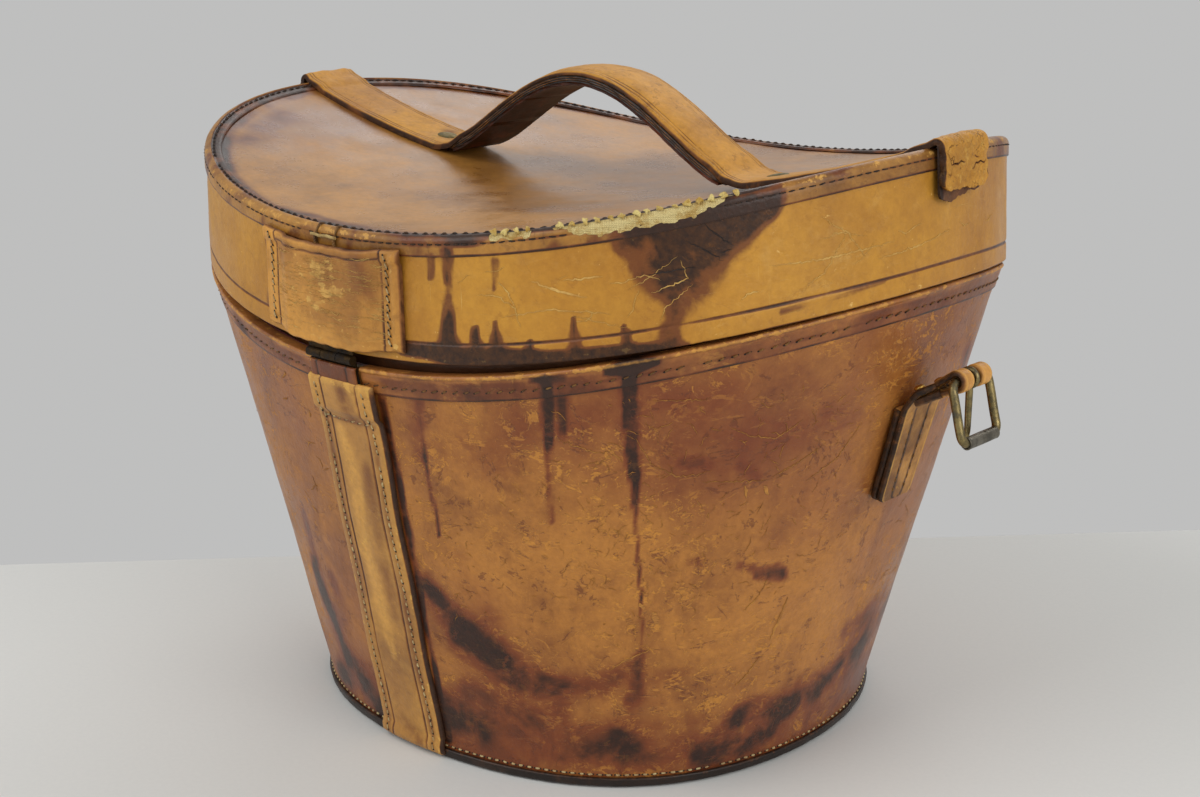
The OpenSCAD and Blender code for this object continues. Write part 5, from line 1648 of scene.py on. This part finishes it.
def chape(tag, side):
    """The tab: two layers sewn together on the wall, loops round the bar, and their return."""
    part, name = ("body", "chape_" + tag), "chape_" + tag
    for layer in ("back", "front"):
        front = layer == "front"
        line, high = tongue_line(TAB_SEAT + (3.6 if front else 1.2), TAB_LOW + (2.9 if front else 2.6))
        if front:
            root = high + WALL_DIR
            ahead = BAR - TAB_DIR * (TAB_LEN - BEND_AT) + TAB_UP * (TAB_T / 2)
            u = np.linspace(0.08, 1, 9)
            bend = between(root, ahead, u) + (3.0 * u * (1 - u))[:, None] * WALL_DIR
            rest = ahead + np.linspace(0.8, TAB_LEN - BEND_AT - SLOT_BACK, 8)[:, None] * TAB_DIR
            line = np.vstack([line, bend, rest])
        half = np.interp(line[:, 1], [TAB_LOW, TAB_ROOT], [9.9, 11.5])
        if front:
            half[-8:] = np.linspace(11.4, 9.2, 8)
        corner = np.clip(cumulative(line) / 2.5, 0, 1)
        half = half - 1.6 * (1 - np.sqrt(1 - (1 - corner) ** 2))
        strip_solid(f"{name}_{layer}", side, line, 2.35, -half, half, part, 33, 0.8,
                    0.8 if front else 0.1, 0.9,
                    101 if front else 100, name if front else ())
    around = math.atan2(TAB_UP[1], TAB_UP[0]) - np.linspace(0, PI, 20)
    around = BAR + LOOP_R * np.stack([np.cos(around), np.sin(around)], -1)
    start, end = [BAR - TAB_DIR * SLOT_BACK + sign * TAB_UP * LOOP_R * 0.62 for sign in (1, -1)]
    line = np.vstack([between(start, around[0], np.linspace(0, 1, 8)[:-1]), around,
                      between(around[-1], end, np.linspace(0, 1, 8)[1:])])
    for where, y0, y1 in (("near", -9.0, -2.6), ("far", 2.6, 9.0)):
        strip_solid(f"{name}_loop_{where}", side, line, 2.3, y0, y1, part, 15, 0.6, 0.75, 0.8, 110,
                    tooled=False)
    back = (BAR - TAB_UP * (TAB_T / 2 + 0.55) - np.linspace(SLOT_BACK - 0.6, TAB_LEN - 4.5, 14)[:, None]
            * TAB_DIR)
    half = np.linspace(9.2, 10.9, 14)
    strip_solid(f"{name}_return", side, back, 3.1, -half, half, part, 25, 0.4, 0.9, 0.9, 112)
    z = np.linspace(112, 143, 30)
    c = np.stack([wall_a(z), z], -1) + WALL_OUT * (TAB_SEAT + 4.7)
    for row, sy in (("a", -1), ("b", 1)):
        line = np.stack([side * c[:, 0], sy * (3.4 + 0.04 * (z - 110)), c[:, 1]], -1)
        normals = np.array([side * WALL_OUT[0], 0, WALL_OUT[1]]) + 0 * line
        stitch_rows(f"{name}_stitches_{row}", line, normals, part, "thread_mid", 3.6, 2.2, 0.3)


def chape_rivets(tag, side):
    """Rivets with domed, rubbed heads through the tab."""
    slot = "chape_rivets_" + tag
    foot = BAR - TAB_DIR * (TAB_LEN - 6)
    axis = np.array([side * TAB_UP[0], 0, TAB_UP[1]])
    heights = [-TAB_T - 0.85, -TAB_T - 0.8, -TAB_T - 0.2, -TAB_T + 0.1,
               TAB_T - 0.2, TAB_T + 0.15, TAB_T + 0.6, TAB_T + 1.0, TAB_T + 1.35, TAB_T + 1.5]
    radii = [0.2, 1.7, 1.9, 1.2, 1.2, 2.0, 2.05, 1.75, 1.1, 0.15]
    for k, y in enumerate((-6.5, 6.5)):
        line = np.array([side * foot[0], y, foot[1]]) + np.array(heights)[:, None] * axis
        tube(f"chape_rivet_{tag}_{k}", line, radii, 28, ("body", slot), M["brass_bright"], () if k else slot)


def hang(side, local, tilt=TILT):
    """Points given along the buckle as (out of its plane, across, down from the bar) in place."""
    local = np.asarray(local, float)
    x = BAR_X + local[:, 0] * math.cos(tilt) + local[:, 2] * math.sin(tilt)
    z = BAR_Z + local[:, 0] * math.sin(tilt) - local[:, 2] * math.cos(tilt)
    return np.stack([side * x, local[:, 1], z], -1)


def rounded_frame():
    """A loop of wire with rounded corners: four sides, each with the corner after it."""
    r = 3.4
    y, low, high = LEG_Y - r, r, DROP - r
    centres = np.array([(y, low), (y, high), (-y, high), (-y, low)])
    out = []
    for k, centre in enumerate(centres):
        angles = np.linspace(-PI / 2, 0, 8) + k * PI / 2
        corner = centre + r * np.stack([np.cos(angles), np.sin(angles)], -1)
        straight = between(corner[0] - centre + centres[k - 1], corner[0], np.linspace(0, 1, 12))
        out += [straight[min(k, 1):], corner[1:]]
    p = np.vstack(out)[:-1]
    return np.stack([0.12 * np.sin(p[:, 1] * 0.3), p[:, 0], p[:, 1]], -1)


def buckle(tag, side):
    """Wire frame, the roller on its lower bar, and the prong, each on a body of its own."""
    part = ("buckle_" + tag, "buckle_frame_" + tag)
    tube("buckle_wire_" + tag, hang(side, rounded_frame()), WIRE_R, 20, part, M["brass"], part[1],
         closed=True)
    # The roller is sheet rolled up, with an open seam
    r_in, r_out, half = 1.72, 2.22, 9.4
    profile = [(-half, r_in), (-half, r_out - 0.12), (-half + 0.15, r_out), (-half + 0.6, r_out - 0.05)]
    profile += [(0, r_out + 0.03)] + [(-y, r) for y, r in profile[::-1]]
    rings = []
    for a in np.linspace(0.06, 2 * PI - 0.06, 40):
        lift = 1 + 0.02 * math.exp(-min(a, 2 * PI - a) * 6)
        c, s = lift * math.cos(a + 2.4), lift * math.sin(a + 2.4)
        rings.append(hang(side, [(r * c, y, DROP + r * s) for y, r in profile]))
    part = ("roller_" + tag, "buckle_roller_" + tag)
    sweep("roller_sleeve_" + tag, np.array(rings), False, part, M["roller"], part[1], caps=False)
    part = ("prong_" + tag, "buckle_prong_" + tag)
    u = np.linspace(0.3, 2 * PI - 0.25, 26)
    eye = 2.95 * np.stack([np.sin(u + PI), 0 * u, np.cos(u)], -1)
    tube("prong_eye_" + tag, hang(side, eye, 0.0), 1.05, 14, part, M["brass"], part[1])
    shank = [(0.25, 0, 3.4 + s) for s in np.linspace(0, 20.2, 16)]
    radii = np.concatenate([[1.2, 1.3], np.linspace(1.3, 1.15, 10), [1.05, 0.85, 0.6, 0.25]])
    tube("prong_shank_" + tag, hang(side, shank, 0.0), radii, 16, part, M["brass"])


for tag, side in (("right", 1), ("left", -1)):
    chape(tag, side)
    chape_rivets(tag, side)
    buckle(tag, side)


# Handle rivets: low green-crusted heads

def handle_rivets():
    heights = [2.2, 2.85, 3.0, 3.35, 3.6, 3.72]
    radii = [1.6, 4.3, 4.35, 3.9, 2.4, 0.2]
    for k, x in enumerate((ARCH_X - RIVET_X, ARCH_X + RIVET_X)):
        up = unit(np.array([-2 * TOP_RISE * x / LID_A1 ** 2, 0, 1.0]))
        line = np.array([x, STRAP_Y, top_z(x) - BIND]) + np.array(heights)[:, None] * up
        tube("handle_rivet_%d" % k, line, radii, 36, ("lid", "handle_rivets"), M["verdigris"],
             () if k else "handle_rivets")


handle_rivets()
tie_bar()


# Collar: an upright leather lip inside the rim

COLLAR_UP, COLLAR_DOWN = 12.0, 30.0  # above and below the rim
TURN_R = 1.1  # rise of the collar's rounded top


def collar_at(phi, z, off=0.0):
    p = body_at(phi, np.minimum(z, rim_z(phi)), off)
    return np.stack(np.broadcast_arrays(p[..., 0], p[..., 1], z), -1)


def collar():
    part = ("body", "collar")
    bend = np.linspace(0, PI, 9)[1:-1]
    rise = np.concatenate([np.linspace(-COLLAR_DOWN, 4.6, 24), [4.9, 5.1], np.linspace(5.4, COLLAR_UP - 1,
            10)])
    band = 0.3 * smooth((rise - 4.8) / 0.4)
    heights = np.concatenate([rise, COLLAR_UP - 1 + TURN_R * np.sin(bend), rise[::-1]])
    turned = -(COLLAR_OUT + COLLAR_IN) / 2 + 1.3 * np.cos(bend)
    depths = np.concatenate([band - COLLAR_OUT, turned, (-band - COLLAR_IN)[::-1]])
    phi = PHIS[:, None] + 0 * heights
    z = rim_z(PHIS)[:, None] + heights
    rings = collar_at(phi, z, depths + 0.1 * ripple(collar_at(phi, z), 30, 131))
    above = heights + 0 * rings[..., 2]
    stain = 0.3 * ridge(above, 4.9, 0.8) + 0.2 * smooth((-20 - above) / 8)
    wear = 0.4 * smooth((above - COLLAR_UP + 1.4) / 1.2)
    sweep("collar_leather", rings, True, part, M["collar"], "collar",
          painted(rings, 0.4 + 0.2 * ripple(rings, 60, 132), stain, wear))
    z = rim_z(LOOP_PHIS) + 7.0
    inside = collar_at(LOOP_PHIS, z, -COLLAR_IN - 0.22)
    inward = collar_at(LOOP_PHIS, z, -COLLAR_IN - 1.22) - inside
    stitch_rows("collar_stitches_in", inside, inward, part, "thread_mid", 4.0, 2.4, 0.3)
    outside = collar_at(LOOP_PHIS, z, -COLLAR_OUT + 0.22)
    stitch_rows("collar_stitches_out", outside, -inward, part, "thread_mid", 4.0, 2.4, 0.3)


collar()


# Linings: gathered satin on the wall, a padded bottom, quilting in the lid

PAD_Z, PAD_T = 5.1, 3.0  # height of the bottom's board, thickness of the pad on it
GATHERS = 24
QUILT = 40.0  # width of a diamond of the quilting


def tucks(phi):
    """How full the gathered cloth is at an angle, from 0 in a tuck to 1."""
    return np.sqrt(np.abs(np.sin(GATHERS * phi)))


def lining_rings(place, low, high, rows, depth):
    """Rings of a wall's lining between two heights, depth giving its face from phi and z."""
    z = low + (high[:, None] - low) * rows
    phi = PHIS[:, None] + 0 * z
    return shell(place(phi, z, -depth(phi, z)), place(phi, z, -LINING_OUT))


def body_lining():
    high = rim_z(PHIS) - BIND

    def depth(phi, z):
        free = smooth((rim_z(phi) - COLLAR_DOWN - 1 - z) / 7) * smooth((z - PAD_Z - 2) / 8)
        seat = 1.2 * smooth((PAD_Z + 9 - z) / 7)
        return 6.25 + 1.3 * tucks(phi) * free + 0.22 * ripple(on_sheet(phi, z, 0.5), 9, 133) * free + seat

    rings = lining_rings(body_at, PAD_Z, high, np.linspace(0, 1, 80), depth)
    satin = sweep("body_lining_satin", rings, True, ("body", "body_lining"), M["lining"], "body_lining")


def disc(name, a, b, inset, high, low, part, material, paint=(0.3, 0.0, 0.0)):
    """A layer with an oval outline between two heights, both functions of x, y and the share out."""
    out = np.concatenate([[0.0], np.linspace(0.04, 0.9, 44), np.linspace(0.92, 1.0, 10)])
    x, y = oval(a, b, PHIS, -inset)
    x, y = x[:, None] * out, y[:, None] * out
    out = out + 0 * x
    rings = shell(np.stack([x, y, high(x, y, out)], -1), np.stack([x, y, low(x, y, out)], -1))
    return build(name, rings.reshape(-1, 3), *sweep_data(rings, True), part, material, part[1],
                 painted(rings, *paint), merge=True)


def base_lining():
    a, b = wall_a(PAD_Z), wall_b(PAD_Z)

    def top(x, y, out):
        border = smooth((out - 0.6) / 0.4)
        gather = 0.7 * tucks(np.arctan2(y * a, x * b)) * border
        dome = np.sqrt(np.clip(1 - out ** 8, 0, 1))
        lumps = 0.25 * dome * ripple(flat(x, y), 45, 134)
        return PAD_Z + 0.3 + (PAD_T - 0.9 + gather) * dome * (1 - 0.35 * border) + lumps

    satin = disc("base_lining_satin", a, b, COLLAR_OUT, top, lambda x, y, out: PAD_Z + 0 * x,
                 ("body", "base_lining"), M["lining"])


def base_cover():
    """Leather under the base, on which the box stands."""
    def low(x, y, out):
        return 0.8 * smooth((out - 0.985) / 0.015) + 0.12 * (1 + ripple(flat(x, y), 24, 135))

    disc("base_cover_leather", BASE_A, BASE_B, LINING_OUT, lambda x, y, out: 2.6 + 0 * x, low,
         ("body", "base_cover"), M["base"], (0.2, 0.1, 0.25))


def lid_band_lining():
    rows = np.linspace(0, 1, 26)
    high = top_z(oval(LID_A1, LID_B, PHIS, -LINING_OUT - 1)[0]) - 7.45
    hem = smooth(np.minimum(rows, 1 - rows) * 7)
    rings = lining_rings(lid_at, lid_low(PHIS)[:, None], high, rows, lambda phi, z: (
        5.05 + 0.3 * tucks(phi) * hem + 0.1 * ripple(on_sheet(phi, z, 0.6), 8, 136)))
    sweep("lid_band_lining_satin", rings, True, ("lid", "lid_band_lining"), M["lining"], "lid_band_lining")


def lid_top_lining():
    def quilt(x, y, out):
        diamonds = np.sqrt(np.abs(np.sin((x + y) * PI / QUILT) * np.sin((x - y) * PI / QUILT)))
        return top_z(x) - 5.5 - 1.3 * diamonds * smooth((1 - out) / 0.05) - 0.06 * ripple(flat(x, y), 8, 137)

    satin = disc("lid_top_lining_satin", LID_A1, LID_B, LINING_OUT, lambda x, y, out: top_z(x) - 5.3, quilt,
                 ("lid", "lid_top_lining"), M["lining"])


body_lining()
base_lining()
base_cover()
lid_band_lining()
lid_top_lining()


# CAD nodes that stay, with their materials

KEPT_NODES = {
    "board": ("body_board", "base_board", "lid_band_board", "lid_top_board"),
    # the hinge takes the brass that is darkened as painted shade of the gap it sits in
    "brass_tarnish_and_shade": ("hinge_body_leaf", "hinge_pin", "hinge_lid_leaf"),
}
for key, names in KEPT_NODES.items():
    for name in names:
        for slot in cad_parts[name].material_slots:
            slot.material = M[key]


# Floor: a table whose far edge runs where it does behind the box in the photo

TABLE_TURN = math.radians(45.9)
EDGE_BEHIND = 0.1436  # metres from the middle of the box to the table's far edge
TABLE_SIDE, TABLE_THICK, TABLE_GAP = 6.0, 0.03, 0.0002


def floor_paint():
    g = Graph("floor_paint")
    specks = g.step(g.noise(500, 3.0, 0.6), 0.3, 0.7, 0.0, 0.06)
    return g.finish(g.mix(specks, rgb("dcdcd8"), rgb("b9babb")), 0.85)


def table():
    work = bmesh.new()
    bmesh.ops.create_cube(work, size=1.0)
    bmesh.ops.scale(work, verts=work.verts, vec=(TABLE_SIDE, TABLE_SIDE, TABLE_THICK))
    bmesh.ops.translate(work, verts=work.verts,
                        vec=(0, EDGE_BEHIND - TABLE_SIDE / 2, -TABLE_THICK / 2 - TABLE_GAP))
    bmesh.ops.rotate(work, verts=work.verts, cent=(0, 0, 0), matrix=Matrix.Rotation(TABLE_TURN, 3, "Z"))
    bmesh.ops.bevel(work, geom=work.edges, offset=0.003, segments=4, affect="EDGES")
    mesh = bpy.data.meshes.new("floor")
    work.to_mesh(mesh)
    work.free()
    mesh.shade_smooth()
    mesh.set_sharp_from_angle(angle=math.radians(40))
    mesh.materials.append(floor_paint())
    return bpy.data.objects.new("floor", mesh)


floor = table()
bpy.context.scene.collection.objects.link(floor)


# Lights and world

def area(name, place, target, size, power):
    lamp = bpy.data.lights.new(name, "AREA")
    lamp.shape = "RECTANGLE"
    lamp.size, lamp.size_y = size
    lamp.energy = power
    obj = bpy.data.objects.new(name, lamp)
    bpy.context.scene.collection.objects.link(obj)
    obj.location = place
    obj.rotation_mode = "QUATERNION"
    obj.rotation_quaternion = (Vector(target) - Vector(place)).to_track_quat("-Z", "Y")


area("key", (-0.78, -1.9, 1.7), (0, 0, 0.1), (2.0, 1.8), 27)
area("fill", (2.15, -0.35, 1.1), (0, 0, 0.12), (1.8, 1.6), 22)
area("back", (-0.6, 1.7, 1.6), (0, 0, 0.2), (2.2, 1.2), 13)


def sky():
    """An even sky that lights the box, and a grey wall where the camera sees, mirrors or looks
    through to the background."""
    world = bpy.data.worlds.new("world")
    bpy.context.scene.world = world
    world.use_nodes = True
    nodes, links = world.node_tree.nodes, world.node_tree.links
    light = nodes["Background"]
    light.inputs[0].default_value = (0.80, 0.81, 0.82, 1)
    light.inputs[1].default_value = 0.55
    wall = nodes.new("ShaderNodeBackground")
    wall.inputs[0].default_value = (0.52, 0.52, 0.517, 1)
    rays = nodes.new("ShaderNodeLightPath")
    seen = rays.outputs["Is Camera Ray"]
    for kind in ("Is Glossy Ray", "Is Transmission Ray"):
        either = nodes.new("ShaderNodeMath")
        either.operation = "MAXIMUM"
        links.new(seen, either.inputs[0])
        links.new(rays.outputs[kind], either.inputs[1])
        seen = either.outputs[0]
    choose = nodes.new("ShaderNodeMixShader")
    for source, target in zip((seen, light.outputs[0], wall.outputs[0]), choose.inputs):
        links.new(source, target)
    links.new(choose.outputs[0], nodes["World Output"].inputs[0])


sky()


# Camera, fitted to the photo

PHOTO_WIDE, PHOTO_LENS, PHOTO_SHIFT = 1200, 1833.5, (6.0, 11.4)  # in pixels
AZ, EL, ROLL = math.radians(42.38), math.radians(16.309), math.radians(-0.431)
LOOK_AT, AWAY = (0, 0, 0.1133), 0.7577


def place_camera():
    lens = bpy.data.cameras.new("camera")
    lens.sensor_width = 36.0
    lens.lens = PHOTO_LENS / PHOTO_WIDE * 36
    lens.shift_x, lens.shift_y = [shift / PHOTO_WIDE for shift in PHOTO_SHIFT]
    camera = bpy.data.objects.new("camera", lens)
    bpy.context.scene.collection.objects.link(camera)
    back = Vector((math.sin(AZ) * math.cos(EL), -math.cos(AZ) * math.cos(EL), math.sin(EL)))
    right = Vector((math.cos(AZ), math.sin(AZ), 0))
    up = back.cross(right)
    across = right * math.cos(ROLL) + up * math.sin(ROLL)
    upward = up * math.cos(ROLL) - right * math.sin(ROLL)
    turned = Matrix((across, upward, back)).transposed()
    camera.matrix_world = Matrix.Translation(Vector(LOOK_AT) + back * AWAY) @ turned.to_4x4()
    bpy.context.scene.camera = camera


place_camera()
bpy.context.scene.view_settings.view_transform = "Standard"
